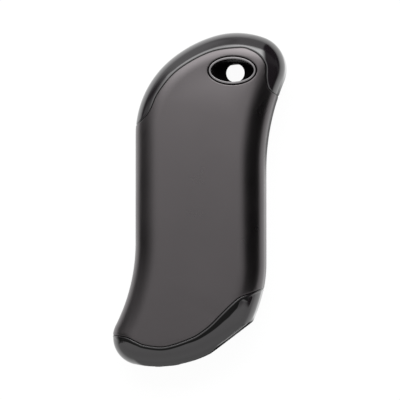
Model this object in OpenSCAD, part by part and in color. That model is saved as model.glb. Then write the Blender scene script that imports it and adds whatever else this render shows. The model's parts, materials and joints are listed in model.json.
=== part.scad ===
// Rechargeable hand warmer that is also a power bank: two satin metal half shells,
// two gloss end caps, a lanyard eyelet right through the top lobe, and a charge port
// facet, a heat button and four level lights on the bottom cap.
// Inside are two round cells in a frame, two heater films and one circuit board.
// It lies on its back face: +Z is out of the front face and +Y runs to the eyelet end.
// Lengths are millimetres and angles are degrees.

/* [Body] */
// Thickness from the back face to the front face
body_t = 25; // [25:0.2:30]
// Radius of the round edge between a face and the side
edge_r = 9; // [8:0.1:9.2]
// Wall of the shells and caps
wall = 1.5; // [1.3:0.1:1.6]
// Open seam between a shell and a cap
seam_gap = 0.3; // [0.1:0.05:0.4]
// Open parting line between the front and the back shell
parting_gap = 0.2; // [0.1:0.05:0.4]

/* [Top lobe outline] */
// How far half a cell reaches past the start of the left side's bend
top_bend_lap = 10.15; // [8.6:0.05:11.5]
// Radius of the left shoulder
top_shoulder_r = 33; // [31:0.5:36]
// Radius of the long slope after the shoulder
top_slope_r = 42; // [39:0.5:46]
// Radius of the crown
top_crown_r = 27; // [24:0.5:30]
// Radius of the lobe's tip
top_tip_r = 10.9; // [10:0.1:12]

/* [Bottom lobe outline] */
// How far half a cell reaches past the start of the right side's bend
bottom_bend_lap = 11.15; // [9.6:0.05:12]
// Radius of the right shoulder
bottom_shoulder_r = 46; // [43:0.5:50]
// Radius of the corner behind the port facet
bottom_corner_r = 10; // [9.6:0.1:11]
// Radius of the nearly flat stretch behind the port facet
bottom_slope_r = 115; // [100:1:130]
// Radius of the bottom crown
bottom_crown_r = 38.1; // [36:0.1:40]
// Radius of the bottom lobe's tip
bottom_tip_r = 9.4; // [9.4:0.1:11]

/* [Port facet] */
// Depth of the flat cut below the corner's arc
facet_cut = 1.16; // [0.9:0.02:1.4]
// Wall of the bottom cap behind the facet
facet_wall = 1.8; // [1.4:0.1:2]
// How far the sockets stand back from the facet
port_recess = 0.6; // [0.3:0.1:1]
// Clearance round each socket in the cap
port_clear = 0.15; // [0.1:0.05:0.2]

/* [Lanyard eyelet] */
// Bore of the eyelet
eyelet_bore_d = 6.4; // [5:0.1:6.8]
// Width of the eyelet's rim at the face
eyelet_rim_w = 16; // [15:0.1:16.6]
// Height of the eyelet's rim at the face
eyelet_rim_h = 9.2; // [8.8:0.1:9.6]
// Width of the rim's flat edge round the funnel
eyelet_lip = 0.75; // [0.5:0.05:0.9]
// Depth of the funnel at each face
eyelet_funnel = 11.5; // [9:0.5:12]
// Groove between the shell and the eyelet
eyelet_groove = 0.2; // [0.1:0.05:0.3]

/* [Cells] */
// Diameter of one round cell
cell_d = 18.4; // [18:0.1:18.6]
// Length of one cell without its raised contact
cell_can_l = 64.3; // [62:0.1:64.8]
// Height of the raised contact
cell_nub_h = 0.8; // [0.5:0.1:1]
// Diameter of the raised contact
cell_nub_d = 6.4; // [5:0.1:8]
// Gap between the two cells
cell_gap = 0.2; // [0.1:0.05:0.3]
// Clockwise tilt of the cell pair in the body
pack_tilt = 3.5; // [3:0.1:4]
// Distance of the cell pair's middle above the body's middle
pack_up = 2; // [1.5:0.1:2.2]
// Thickness of the nickel strips and of the insulator rings
strip_t = 0.2; // [0.1:0.05:0.2]

/* [Frame] */
// Height of the cell frame between the faces
frame_t = 12; // [11.6:0.1:12.2]
// Gap between the frame and the shells
frame_gap = 0.2; // [0.15:0.05:0.3]
// Wall of the frame round its bays
frame_wall = 1.3; // [1:0.1:1.4]
// Wall of the frame beside the cells, which sets how much wider than them the body is
frame_side = 1.8; // [1.5:0.1:4.5]
// Floor of the frame's bays
frame_floor = 0.8; // [0.6:0.1:1]
// Diameter of a screw boss for the caps
boss_d = 4.8; // [4.4:0.1:5]

/* [Heaters] */
// Thickness of a heater film
film_t = 0.25; // [0.15:0.05:0.4]
// Width of a heater film
film_w = 24; // [20:0.5:24.5]
// How much shorter half a heater film is than half a cell
film_margin = 2.55; // [2:0.05:7]

/* [Circuit board] */
// Thickness of the board
board_t = 1; // [0.8:0.1:1.2]
// Height of the board's underside above the body's middle
board_z = 0; // [-0.2:0.05:0.1]
// Clearance between the board and the frame's wall
board_gap = 0.3; // [0.2:0.05:0.5]

/* [Sockets] */
// Width of the output socket's shell
usb_w = 13.1; // [12.8:0.1:13.3]
// Height of the output socket's shell
usb_h = 5.7; // [5.5:0.1:5.8]
// Length of the output socket's shell
usb_l = 10; // [9:0.5:10]
// Width of the charge socket's shell
micro_w = 7.5; // [7:0.1:8]
// Height of the charge socket's shell
micro_h = 2.7; // [2.5:0.1:2.9]
// Length of the charge socket's shell
micro_l = 5.2; // [4.6:0.1:5.6]
// Sheet thickness of both socket shells
socket_wall = 0.3; // [0.2:0.05:0.35]

/* [Button and lights] */
// Length of the button along the edge
button_l = 9; // [8:0.1:10]
// Width of the button across the edge
button_w = 4.4; // [4:0.1:4.6]
// Travel of the button
button_travel = 0.4; // [0.2:0.05:0.5]
// Clearance round the button in the cap
button_clear = 0.15; // [0.1:0.05:0.25]
// Diameter of one level light
light_d = 1.4; // [1:0.1:1.6]
// Clearance round each light's post in the cap
light_clear = 0.05; // [0.03:0.01:0.1]
// Distance between two level lights
light_pitch = 2.2; // [2:0.1:2.4]

/* [Screws] */
// Thread diameter of the screws
screw_d = 2; // [1.6:0.1:2.2]
// Head diameter of the screws
screw_head_d = 3.6; // [3.2:0.1:3.8]
// Head height of the screws
screw_head_h = 0.9; // [0.7:0.1:1]
// Length of a screw below its head
screw_l = 4; // [3:0.1:4.2]
// Radial clearance of a screw in its hole
screw_clear = 0.05; // [0.03:0.01:0.1]

/* [Hidden] */
$fn = 48;

half_t = body_t / 2;
far = 60;

// The body is sized round the cells: its width, and where its two sides start to bend
cell_half_l = (cell_can_l + cell_nub_h) / 2;
window_half_w = cell_d + cell_gap;
body_w = 2 * (window_half_w + frame_side + frame_gap + wall);
top_start = cell_half_l - top_bend_lap;
bottom_start = cell_half_l - bottom_bend_lap;

// Outline of the body as two chains of tangent arcs, one for each end.
// A chain holds its arcs' radii, the angles of the outline's normal where the arcs
// meet, the height of its first point and the steps drawn on each arc.
top_angles = [180, 130, 106.5, 69, -23, 0];
bottom_angles = [180, 154, 126, 120, 78.6, -27, 0];
top = end_chain(
    [top_shoulder_r, top_slope_r, top_crown_r, top_tip_r], top_angles, top_start, [7, 3, 5, 11, 4]
);
bottom = end_chain(
    [bottom_shoulder_r, bottom_corner_r, bottom_slope_r, bottom_crown_r, bottom_tip_r],
    bottom_angles, bottom_start, [5, 3, 2, 5, 11, 4]
);
rim_steps = 30;

function normal(a) = [cos(a), sin(a)];
function sum(v, i = 0) = i >= len(v) ? 0 : v[i] + sum(v, i + 1);
// The hollow arc that leads back to the straight side closes the width.
function waist_r(radii, angles) = let (
    n = len(radii),
    span = sum([for (k = [0:n - 1]) radii[k] * (cos(angles[k + 1]) - cos(angles[k]))])
) (span - body_w) / (1 - cos(angles[n]));
function end_chain(radii, angles, start, steps) =
    [concat(radii, [-waist_r(radii, angles)]), angles, start, steps];
function arc_centre(chain, k) = k == 0
    ? [chain[0][0] - body_w / 2, chain[2]]
    : arc_centre(chain, k - 1) + (chain[0][k - 1] - chain[0][k]) * normal(chain[1][k]);
// A station is an arc's number plus the share of that arc that lies behind it.
function arc_at(chain, s) = min(floor(s), len(chain[0]) - 1);
function rim_angle(chain, s) = let (k = arc_at(chain, s))
    chain[1][k] + (chain[1][k + 1] - chain[1][k]) * (s - k);
function rim(chain, s, inset = 0) = let (k = arc_at(chain, s))
    arc_centre(chain, k) + (chain[0][k] - inset) * normal(rim_angle(chain, s));
function end_points(chain, inset) = concat(
    [for (k = [0:len(chain[3]) - 1], i = [0:chain[3][k] - 1]) rim(chain, k + i / chain[3][k], inset)],
    [rim(chain, len(chain[3]), inset)]
);
// The whole outline runs clockwise: the top end, then the bottom end turned by 180.
function outline(inset) = concat(end_points(top, inset), -1 * end_points(bottom, inset));

body_points = outline(0);
middle_x = (max([for (p = body_points) p[0]]) + min([for (p = body_points) p[0]])) / 2;
middle_y = (max([for (p = body_points) p[1]]) + min([for (p = body_points) p[1]])) / 2;

// Seams between the shells and the caps: stations on the outline with the distance
// of the seam inside the outline there.
top_seam = [
    [0.07, -1.5], [0.11, 0.2], [0.19, 2.97], [0.33, 4.66], [0.6, 4.94], [1.01, 5.2], [1.83, 5.5],
    [2.55, 5.6], [2.86, 5.8], [3.25, 6.45], [3.73, 5.97], [4.046, 4.82], [4.136, 3.16],
    [4.164, 1.9], [4.18, -0.1], [4.2, -1.5]
];
bottom_seam = [
    [0.4, -1.5], [0.43, -0.2], [0.535, 2.82], [0.66, 5.95], [0.83, 8.3], [2.14, 9.5], [2.53, 8.36],
    [2.88, 7.66], [3.16, 7.28], [3.56, 6.8], [3.86, 7.22], [4.06, 8.02], [4.757, 6.09],
    [4.8, 3.28], [4.795, 0.2], [4.8, -1.5]
];
seam_steps = 3;

function seam_knots(chain, seam) = [for (s = seam) rim(chain, s[0], s[1])];
function smooth(a, b, c, d, t) =
    0.5 * (2 * b + t * (c - a) + t * t * (2 * a - 5 * b + 4 * c - d) + t * t * t * (3 * b - a - 3 * c + d));
function seam_curve(p) = let (n = len(p) - 1) concat(
    [for (i = [0:n - 1], j = [0:seam_steps - 1])
        smooth(p[max(i - 1, 0)], p[i], p[i + 1], p[min(i + 2, n)], j / seam_steps)],
    [p[n]]
);
// A curve moved to the right of its own direction, which is into the body.
function moved_in(p, d) = [for (i = [0:len(p) - 1]) let (
    run = p[min(i + 1, len(p) - 1)] - p[max(i - 1, 0)],
    side = [run[1], -run[0]] / norm(run)
) p[i] + d * side];
function top_seam_line(d) = moved_in(seam_curve(seam_knots(top, top_seam)), d);
function bottom_seam_line(d) = moved_in(seam_curve(seam_knots(bottom, bottom_seam)), d);
function ends_out(p) = concat([[-far, p[0][1]]], p, [[far, p[len(p) - 1][1]]]);
function cap_region(p) = concat(ends_out(p), [[far, far + body_w], [-far, far + body_w]]);
function shell_region() = concat(
    ends_out(top_seam_line(seam_gap / 2)), -1 * ends_out(bottom_seam_line(seam_gap / 2))
);

// Rings of a rounded solid, each with its height and its distance inside the outline.
edge_steps = 6;
function edge_rings(inset) = let (r = edge_r - inset) [for (i = [0:edge_steps]) let (f = 90 * i / edge_steps)
    [half_t - edge_r + r * sin(f), inset + r * (1 - cos(f))]];
function mirrored(rings) = [for (i = [len(rings) - 1:-1:0]) [-rings[i][0], rings[i][1]]];
function whole_rings(inset) = concat(mirrored(edge_rings(inset)), edge_rings(inset));
function front_rings(inset, low) = concat([[low, inset]], edge_rings(inset));
count = len(body_points);
crest = rim_steps / 2;
function at(ring, i) = ring * count + (i + count) % count;
// A flat end is closed by triangles between its left and its right side.
function lid(ring) = concat(
    [[at(ring, crest - 1), at(ring, crest), at(ring, crest + 1)]],
    [for (i = [1:count / 2 - 2]) each [
        [at(ring, crest - i - 1), at(ring, crest - i), at(ring, crest + i)],
        [at(ring, crest - i - 1), at(ring, crest + i), at(ring, crest + i + 1)]
    ]],
    [[at(ring, crest + count / 2 - 1), at(ring, crest + count / 2), at(ring, crest + count / 2 + 1)]]
);
function turned(face) = [for (i = [len(face) - 1:-1:0]) face[i]];
module rounded(rings) polyhedron(
    points = [for (r = rings) each [for (p = outline(r[1])) [p[0], p[1], r[0]]]],
    faces = concat(
        [for (f = lid(0)) turned(f)],
        [for (k = [0:len(rings) - 2], i = [0:count - 1])
            [at(k, i), at(k, i + 1), at(k + 1, i + 1), at(k + 1, i)]],
        lid(len(rings) - 1)
    )
);

// Frames of reference. In each of them local X points out of the body or along the
// width of the cells, and Z stays the thickness measured from the body's middle.
module placed() translate([-middle_x, -middle_y, half_t]) children();
module on_rim(chain, s) translate(rim(chain, s)) rotate(rim_angle(chain, s)) children();
module bottom_end() rotate(180) children();
facet_angle = 127.4;
facet_normal = normal(facet_angle);
facet_side = normal(facet_angle + 90);
corner_centre = arc_centre(bottom, 1);
facet_out = corner_centre * facet_normal + bottom_corner_r - facet_cut;
facet_shift = 3.15;
facet_along = corner_centre * facet_side - facet_shift;
module on_facet() bottom_end() rotate(facet_angle) translate([facet_out, facet_along]) children();
module on_pack() rotate(-pack_tilt) translate([0, pack_up]) children();
button_station = 3.6;
light_station = 3.17;
module on_button() bottom_end() on_rim(bottom, button_station) children();
module on_lights() bottom_end() on_rim(bottom, light_station) children();

// Sizes that follow from the ones above
cell_u = (cell_d + cell_gap) / 2;
window_end_gap = 0.2;
window_half_l = cell_half_l + strip_t + window_end_gap;
bay_edge = window_half_l + frame_wall;
bay_inset = wall + frame_gap + frame_wall;
frame_top = frame_t / 2;
floor_z = -frame_top + frame_floor;
board_top = board_z + board_t;
inner_face = half_t - wall;
film_z = inner_face - film_t;
pad_z = cell_d / 2;
ear_t = 1.2;
ear_top = frame_top + ear_t;
screw_tip_gap = 0.5;
screw_depth = screw_l + screw_tip_gap;
screw_hole_d = screw_d + 2 * screw_clear;
eyelet_shift = [-6.42, -1.52];
eyelet = arc_centre(top, 3) + eyelet_shift;

// Screw bosses of the caps, each with the direction of the ear that reaches in from
// the cap's wall. The first two hold the top cap and the last two the bottom cap.
shoulder_boss_inset = 6.5;
tip_boss_shift = [5.4, -1.2];
lobe_boss_shift = [-1.3, -0.6];
crown_boss_inset = 8;
top_bosses = [[rim(top, 1.21, shoulder_boss_inset), 125], [arc_centre(top, 3) + tip_boss_shift, -10]];
bottom_bosses = [
    [-1 * arc_centre(bottom, 4) + lobe_boss_shift, 225],
    [-1 * rim(bottom, 3.3, crown_boss_inset), 282]
];
// Posts under the board, in the cell pair's frame, and how far each is from the bay's edge
post_u = [-18.2, 2.8];
post_in = [5.7, 4.25];
board_posts = [for (i = [0, 1]) [post_u[i], -bay_edge - post_in[i]]];
post_d = 4;

// Two-dimensional shapes
module rim2d(inset) polygon(outline(inset));
module inside_facet(depth) rotate(180 + facet_angle)
    translate([facet_out - depth - 2 * far, -far]) square(2 * far);
module oval(w, h, steps = 48) polygon([for (i = [0:steps - 1]) let (a = 360 * i / steps)
    [w / 2 * cos(a), h / 2 * sin(a)]]);
module pill(w, h) {
    square([w - h, h], center = true);
    for (s = [-1, 1]) translate([s * (w - h) / 2, 0]) circle(d = h);
}
module slab(low, high) translate([0, 0, low]) linear_extrude(high - low) children();
// A bar along local X with a pill-shaped section across it, long along local Y
module pill_bar(w, h, from, to) translate([from, 0, 0]) rotate([90, 0, 90])
    linear_extrude(to - from) pill(w, h);
module box(x, y, z) translate([x[0], y[0], z[0]]) cube([x[1] - x[0], y[1] - y[0], z[1] - z[0]]);
module rod(d, low, high) translate([0, 0, low]) cylinder(d = d, h = high - low);
module bay2d(side, inset, facet_depth, edge) intersection() {
    rim2d(inset);
    inside_facet(facet_depth);
    on_pack() translate([-far, side > 0 ? edge : -edge - far]) square([2 * far, far]);
}

// Shells
module eyelet_window() translate(eyelet) slab(-far, far)
    oval(eyelet_rim_w + 2 * eyelet_groove, eyelet_rim_h + 2 * eyelet_groove);
module half_shell() difference() {
    intersection() {
        rounded(front_rings(0, parting_gap / 2));
        slab(-far, far) polygon(shell_region());
    }
    rounded(front_rings(wall, -1));
}
module front_shell() color("#55555a") difference() {
    half_shell();
    eyelet_window();
}
module back_shell() color("#4c4c50") difference() {
    // The back shell has the same outline, so it is the front one mirrored in Z.
    mirror([0, 0, 1]) half_shell();
    eyelet_window();
}

// Caps
tongue_places = concat(
    [for (i = [1, 14]) rim(top, top_seam[i][0], wall)],
    [for (i = [1, 14]) -1 * rim(bottom, bottom_seam[i][0], wall)]
);
tongue_reach = 3.8;
tongue_t = 0.7;
tongue_gap = 0.1;
tongue_h = 6.4;
tongue_root = 0.3;
ear_root = wall - 0.1;
module cap_body(region) difference() {
    intersection() {
        rounded(whole_rings(0));
        slab(-far, far) polygon(region);
    }
    children();
}
// Thin tongues that reach from the cap behind the ends of the shells
module tongue(p, region) slab(-tongue_h / 2, tongue_h / 2) {
    intersection() {
        translate(p) circle(tongue_reach);
        difference() {
            rim2d(wall + tongue_gap);
            rim2d(wall + tongue_gap + tongue_t);
        }
    }
    intersection() {
        translate(p) circle(tongue_reach);
        polygon(region);
        difference() {
            rim2d(wall - tongue_root);
            rim2d(wall + tongue_gap + tongue_t);
        }
    }
}
// An ear lies on a boss of the frame and grows out of the cap's wall.
module ear(p, angle) slab(frame_top, ear_top) difference() {
    intersection() {
        rim2d(ear_root);
        union() {
            translate(p) circle(d = boss_d);
            translate(p) rotate(angle) translate([0, -boss_d / 2]) square([far, boss_d]);
        }
    }
    translate(p) circle(d = screw_hole_d);
}
module top_cap() color("#1b1b1d") {
    region = cap_region(top_seam_line(-seam_gap / 2));
    cap_body(region) rounded(whole_rings(wall));
    for (b = top_bosses) ear(b[0], b[1]);
    for (i = [0, 1]) tongue(tongue_places[i], region);
}
usb_z = [board_z - usb_h, board_z];
micro_z = [board_top, board_top + micro_h];
hole_reach = 1;
module facet_cutter(depth) on_facet() box([-depth, far], [-far, far], [-far, far]);
module port_holes() on_facet() {
    box([-facet_wall - hole_reach, 1], [-usb_w / 2 - port_clear, usb_w / 2 + port_clear],
        [usb_z[0] - port_clear, usb_z[1] + port_clear]);
    translate([0, 0, micro_mid])
        pill_bar(micro_w + 2 * port_clear, micro_h + 2 * port_clear, -facet_wall - hole_reach, 1);
}
button_z = 1.2;
light_z = board_top + 0.4;
module button_hole() on_button() translate([0, 0, button_z])
    pill_bar(button_l + 2 * button_clear, button_w + 2 * button_clear, -2 * wall, wall);
function light_y(i) = (i - 1.5) * light_pitch;
module light_holes() on_lights() for (i = [0:3]) translate([-2 * wall, light_y(i), light_z])
    rotate([0, 90, 0]) cylinder(d = light_d + 2 * light_clear, h = 3 * wall);
module bottom_cap() color("#1b1b1d") {
    region = [for (p = cap_region(bottom_seam_line(-seam_gap / 2))) -1 * p];
    cap_body(region) {
        facet_cutter(0);
        difference() {
            rounded(whole_rings(wall));
            facet_cutter(facet_wall);
        }
        port_holes();
        button_hole();
        light_holes();
    }
    for (b = bottom_bosses) ear(b[0], b[1]);
    for (i = [2, 3]) tongue(tongue_places[i], region);
}

// The eyelet is one spool that both shells trap by its flanges.
flange_reach = 0.5;
flange_gap = 0.3;
flange_t = 1.4;
flange_w = eyelet_rim_w + 2 * flange_reach;
flange_h = eyelet_rim_h + 2 * flange_reach;
flange_z = [inner_face - flange_gap - flange_t, inner_face - flange_gap];
neck_step = 0.3;
module funnel() {
    open_w = eyelet_rim_w - 2 * eyelet_lip;
    open_h = eyelet_rim_h - 2 * eyelet_lip;
    neck = eyelet_bore_d + 2 * neck_step;
    turns = [-0.02, 0.35, 0.6, 0.8, 0.93, 1];
    steps = 48;
    function reach(t) = sqrt(1 - min(1, max(0, t)) ^ 2);
    polyhedron(
        points = [for (t = turns, i = [0:steps - 1]) let (a = 360 * i / steps) [
            (neck + (open_w - neck) * reach(t)) / 2 * cos(a),
            (neck + (open_h - neck) * reach(t)) / 2 * sin(a),
            half_t - eyelet_funnel * t
        ]],
        faces = concat(
            [[for (i = [0:steps - 1]) steps - 1 - i]],
            [for (k = [0:len(turns) - 2], i = [0:steps - 1])
                [k * steps + i, k * steps + (i + 1) % steps,
                 (k + 1) * steps + (i + 1) % steps, (k + 1) * steps + i]],
            [[for (i = [0:steps - 1]) (len(turns) - 1) * steps + i]]
        )
    );
}
module lanyard_eyelet() color("#151517") translate(eyelet) difference() {
    union() {
        slab(-half_t, half_t) oval(eyelet_rim_w, eyelet_rim_h);
        for (s = [0, 1]) mirror([0, 0, s]) slab(flange_z[0], flange_z[1]) oval(flange_w, flange_h);
    }
    funnel();
    mirror([0, 0, 1]) funnel();
    rod(eyelet_bore_d, -far, far);
}

// Frame that holds the cells, with a bay for the eyelet and one for the board.
// Its rim is stepped in above and below, where the round edge of the shells curves in.
inner_r = edge_r - wall;
frame_straight = half_t - edge_r;
frame_step = inner_r - sqrt(inner_r ^ 2 - (frame_top - frame_straight) ^ 2);
bay_facet_depth = facet_wall + frame_gap + frame_wall;
module frame_walls() difference() {
    intersection() {
        union() {
            slab(-frame_straight, frame_straight) rim2d(wall + frame_gap);
            slab(-frame_top, frame_top) rim2d(wall + frame_gap + frame_step);
        }
        slab(-far, far) inside_facet(facet_wall + frame_gap);
    }
    on_pack() slab(-far, far) square([2 * window_half_w, 2 * window_half_l], center = true);
    slab(floor_z, far) {
        bay2d(1, bay_inset, bay_facet_depth, bay_edge);
        bay2d(-1, bay_inset, bay_facet_depth, bay_edge);
    }
}
hub_wall = 1.5;
hub_gap = 0.3;
module frame_bosses() {
    for (b = concat(top_bosses, bottom_bosses)) translate(b[0]) rod(boss_d, -frame_top, frame_top);
    on_pack() for (p = board_posts) translate(p) rod(post_d, -frame_top, board_z);
    translate(eyelet) slab(-frame_top, frame_top)
        oval(eyelet_rim_w + 2 * (hub_wall + hub_gap), eyelet_rim_h + 2 * (hub_wall + hub_gap));
}
module screw_holes() {
    for (b = concat(top_bosses, bottom_bosses)) translate(b[0])
        rod(screw_hole_d, frame_top - screw_depth, far);
    on_pack() for (p = board_posts) translate(p) rod(screw_hole_d, board_z - screw_depth, far);
}
lead_w = -bay_edge - 2.6;
lead_slot = 1;
heater_leads_u = [-11.6, -9.4];
// Room for the button's flange and its travel, and for the light guide
module button_bay(low, high) on_button()
    box([button_bay_x, far], [-button_bay_half_l, button_bay_half_l], [low, high]);
module guide_bay(low, high) on_lights()
    box([guide_x[0] - frame_gap, far], [-guide_half_l - frame_gap, guide_half_l + frame_gap], [low, high]);
module cell_frame() color("#3a3a3a") difference() {
    union() {
        frame_walls();
        frame_bosses();
    }
    screw_holes();
    translate(eyelet) slab(-far, far) oval(eyelet_rim_w + 2 * hub_gap, eyelet_rim_h + 2 * hub_gap);
    on_facet() box([usb_x[0] - frame_gap, far], [-usb_w / 2 - frame_gap, usb_w / 2 + frame_gap],
        [floor_z - frame_floor - 1, micro_z[1] + frame_gap]);
    button_bay(button_z - button_bay_half_h, button_z + button_bay_half_h);
    guide_bay(light_z - guide_h / 2 - frame_gap, light_z + guide_h / 2 + frame_gap);
    on_pack() box([heater_leads_u[0] - lead_slot, heater_leads_u[1] + lead_slot],
        [lead_w - lead_slot, lead_w + lead_slot], [-far, board_z]);
    slab(-tongue_h / 2 - frame_gap, tongue_h / 2 + frame_gap) difference() {
        for (p = tongue_places) translate(p) circle(tongue_reach + frame_gap);
        rim2d(wall + tongue_gap + tongue_t + frame_gap);
    }
}

// Cells and their strips
cell_r = cell_d / 2;
crimp_y = cell_can_l - 3;
crimp_w = 0.6;
crimp_depth = 0.4;
module cell() rotate([-90, 0, 0]) rotate_extrude() polygon([
    [0, 0], [cell_r, 0],
    [cell_r, crimp_y - crimp_depth], [cell_r - crimp_depth, crimp_y],
    [cell_r - crimp_depth, crimp_y + crimp_w], [cell_r, crimp_y + crimp_w + crimp_depth],
    [cell_r, cell_can_l], [cell_nub_d / 2, cell_can_l],
    [cell_nub_d / 2, cell_can_l + cell_nub_h], [0, cell_can_l + cell_nub_h]
]);
module left_cell() color("#2f6f9f") on_pack() translate([-cell_u, -cell_half_l, 0]) cell();
module right_cell() color("#2f6f9f") on_pack() translate([cell_u, -cell_half_l, 0]) cell();
ring_step = 0.4;
module cell_insulator_rings() color("#d8d4c0") on_pack() for (s = [-1, 1])
    translate([s * cell_u, cell_can_l - cell_half_l, 0]) rotate([-90, 0, 0]) difference() {
        cylinder(d = cell_d - 2 * ring_step, h = strip_t);
        translate([0, 0, -1]) cylinder(d = cell_nub_d + ring_step, h = strip_t + 2);
    }
strip_half_w = 13;
strip_half_h = 3.5;
lead_d = 1.2;
lead_z = 7.6;
tab_top = lead_z + lead_d / 2;
positive_u = -2;
negative_u = -6;
module strip(w, u) on_pack() {
    box([-strip_half_w, strip_half_w], [w, w + strip_t], [-strip_half_h, strip_half_h]);
    box([u - lead_d, u + lead_d], [w, w + strip_t], [-strip_half_h, tab_top]);
}
module positive_strip() color("#b9b9b4") strip(cell_half_l, positive_u);
module negative_strip() color("#b9b9b4") strip(-cell_half_l - strip_t, negative_u);
// A lead runs along the cells, over the frame's end wall, and down to the board.
lead_bend = 2;
module lead(u, from) on_pack() translate([u, 0, 0]) {
    translate([0, lead_w + lead_bend, lead_z]) rotate([-90, 0, 0])
        cylinder(d = lead_d, h = from - lead_w - lead_bend);
    translate([0, lead_w + lead_bend, lead_z - lead_bend]) rotate([90, 0, -90])
        rotate_extrude(angle = 90) translate([lead_bend, 0]) circle(d = lead_d);
    translate([0, lead_w, board_top]) cylinder(d = lead_d, h = lead_z - lead_bend - board_top);
}
module positive_lead() color("#b02020") lead(positive_u, cell_half_l);
module negative_lead() color("#202020") lead(negative_u, -cell_half_l - strip_t);

// Heater films lie on the inside of the shells, with foam between them and the cells.
tail_u = [-13, -8];
tail_end = lead_w - 1;
film_l = 2 * (cell_half_l - film_margin);
film_round = 3;
module film2d(w, l) translate([0, -pack_up]) for (s = [0, 1], t = [0, 1]) mirror([s, 0]) mirror([0, t]) {
    square([w / 2 - film_round, l / 2]);
    square([w / 2, l / 2 - film_round]);
    translate([w / 2 - film_round, l / 2 - film_round]) circle(film_round);
}
module heater_film() on_pack() slab(film_z, inner_face) {
    film2d(film_w, film_l);
    translate([tail_u[0], tail_end]) square([tail_u[1] - tail_u[0], -tail_end - film_l / 2]);
}
module front_heater_film() color("#c07830") heater_film();
module back_heater_film() color("#c07830") mirror([0, 0, 1]) heater_film();
module foam_pad() on_pack() slab(pad_z, film_z) film2d(film_w - 1, film_l - 1);
module front_foam_pad() color("#8a8f86") foam_pad();
module back_foam_pad() color("#8a8f86") mirror([0, 0, 1]) foam_pad();
heater_lead_d = 0.8;
module heater_lead_pair(low, high) on_pack() for (u = heater_leads_u)
    translate([u, lead_w, 0]) rod(heater_lead_d, low, high);
module front_heater_leads() color("#d8d8d0") heater_lead_pair(board_top, film_z);
module back_heater_leads() color("#d8d8d0") heater_lead_pair(-film_z, board_z);
sensor_d = 2;
sensor_leg_d = 0.4;
sensor_leg_u = 0.6;
sensor_in = 1;
sensor_at = [-10.5, -bay_edge - sensor_in];
module temperature_sensor() color("#20303a") on_pack() translate(sensor_at) {
    translate([0, 0, film_z - sensor_d / 2]) sphere(d = sensor_d);
    for (s = [-1, 1]) translate([s * sensor_leg_u, 0]) rod(sensor_leg_d, board_top, film_z - sensor_d / 2);
}

// Circuit board and what is soldered to it. Places are in the cell pair's frame, with
// the second number measured from the bay's edge.
chip = [5, 5, 0.9];
chip_at = [-7.5, -9.2];
inductor = [5.5, 5.5, 3];
inductor_at = [-14.2, -10.3];
transistor = [3, 3, 0.8];
transistor_at = [-8.9, 2.5];
capacitor = [1.2, 2, 0.9];
capacitor_pitch = 2.7;
capacitor_row = -5;
module on_board(size, at_xy) translate([at_xy[0] - size[0] / 2, at_xy[1] - size[1] / 2, board_top])
    cube(size);
module main_board() color("#1f5a34") difference() {
    slab(board_z, board_top)
        bay2d(-1, bay_inset + board_gap, bay_facet_depth + board_gap, bay_edge + board_gap);
    for (b = bottom_bosses) translate(b[0]) rod(boss_d + 2 * board_gap, -far, far);
    on_pack() for (p = board_posts) translate(p) rod(screw_hole_d, -far, far);
    button_bay(-far, far);
    guide_bay(-far, far);
}
module controller_chip() color("#18181a") on_pack() translate([0, -bay_edge]) on_board(chip, chip_at);
module power_inductor() color("#4a4a4c") on_pack() translate([0, -bay_edge])
    on_board(inductor, inductor_at);
module power_transistors() color("#18181a") on_facet() for (s = [-1, 1])
    on_board(transistor, [transistor_at[0], s * transistor_at[1]]);
module board_capacitors() color("#9a7a50") on_pack() translate([0, -bay_edge]) for (i = [1:5])
    on_board(capacitor, [-i * capacitor_pitch, capacitor_row]);

// Sockets: the output socket hangs under the board and the charge socket lies on it.
usb_x = [-port_recess - usb_l, -port_recess];
micro_x = [-port_recess - micro_l, -port_recess];
micro_mid = (micro_z[0] + micro_z[1]) / 2;
socket_block = 2;
usb_inside_w = usb_w / 2 - socket_wall;
usb_inside_z = [usb_z[0] + socket_wall, usb_z[1] - socket_wall];
usb_tongue_t = 1.8;
usb_tongue_half_w = usb_inside_w - 0.7;
usb_tongue_top = usb_inside_z[1] - 0.6;
usb_tongue_back = 0.8;
contact_t = 0.15;
contact_half_w = 0.5;
contact_back = 0.5;
module output_socket_shell() color("#c4c6c8") on_facet() difference() {
    box(usb_x, [-usb_w / 2, usb_w / 2], usb_z);
    box([usb_x[0] + socket_wall, 1], [-usb_inside_w, usb_inside_w], usb_inside_z);
}
module output_socket_tongue() color("#e8e8e4") on_facet() {
    box([usb_x[0] + socket_wall, usb_x[0] + socket_block], [-usb_inside_w, usb_inside_w], usb_inside_z);
    box([usb_x[0] + socket_block, usb_x[1] - usb_tongue_back], [-usb_tongue_half_w, usb_tongue_half_w],
        [usb_tongue_top - usb_tongue_t, usb_tongue_top]);
}
module output_socket_contacts() color("#c9a545") on_facet() for (y = [-3.5, -1, 1, 3.5])
    box([usb_x[0] + socket_block, usb_x[1] - usb_tongue_back - contact_back],
        [y - contact_half_w, y + contact_half_w],
        [usb_tongue_top - usb_tongue_t - contact_t, usb_tongue_top - usb_tongue_t]);
micro_block = 1;
micro_inside_w = micro_w - 2 * socket_wall;
micro_inside_h = micro_h - 2 * socket_wall;
micro_tongue_t = 0.6;
micro_tongue_half_w = micro_inside_w / 2 - 1.3;
module charge_socket_shell() color("#c4c6c8") on_facet() translate([0, 0, micro_mid]) difference() {
    pill_bar(micro_w, micro_h, micro_x[0], micro_x[1]);
    pill_bar(micro_inside_w, micro_inside_h, micro_x[0] + socket_wall, 1);
}
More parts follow.
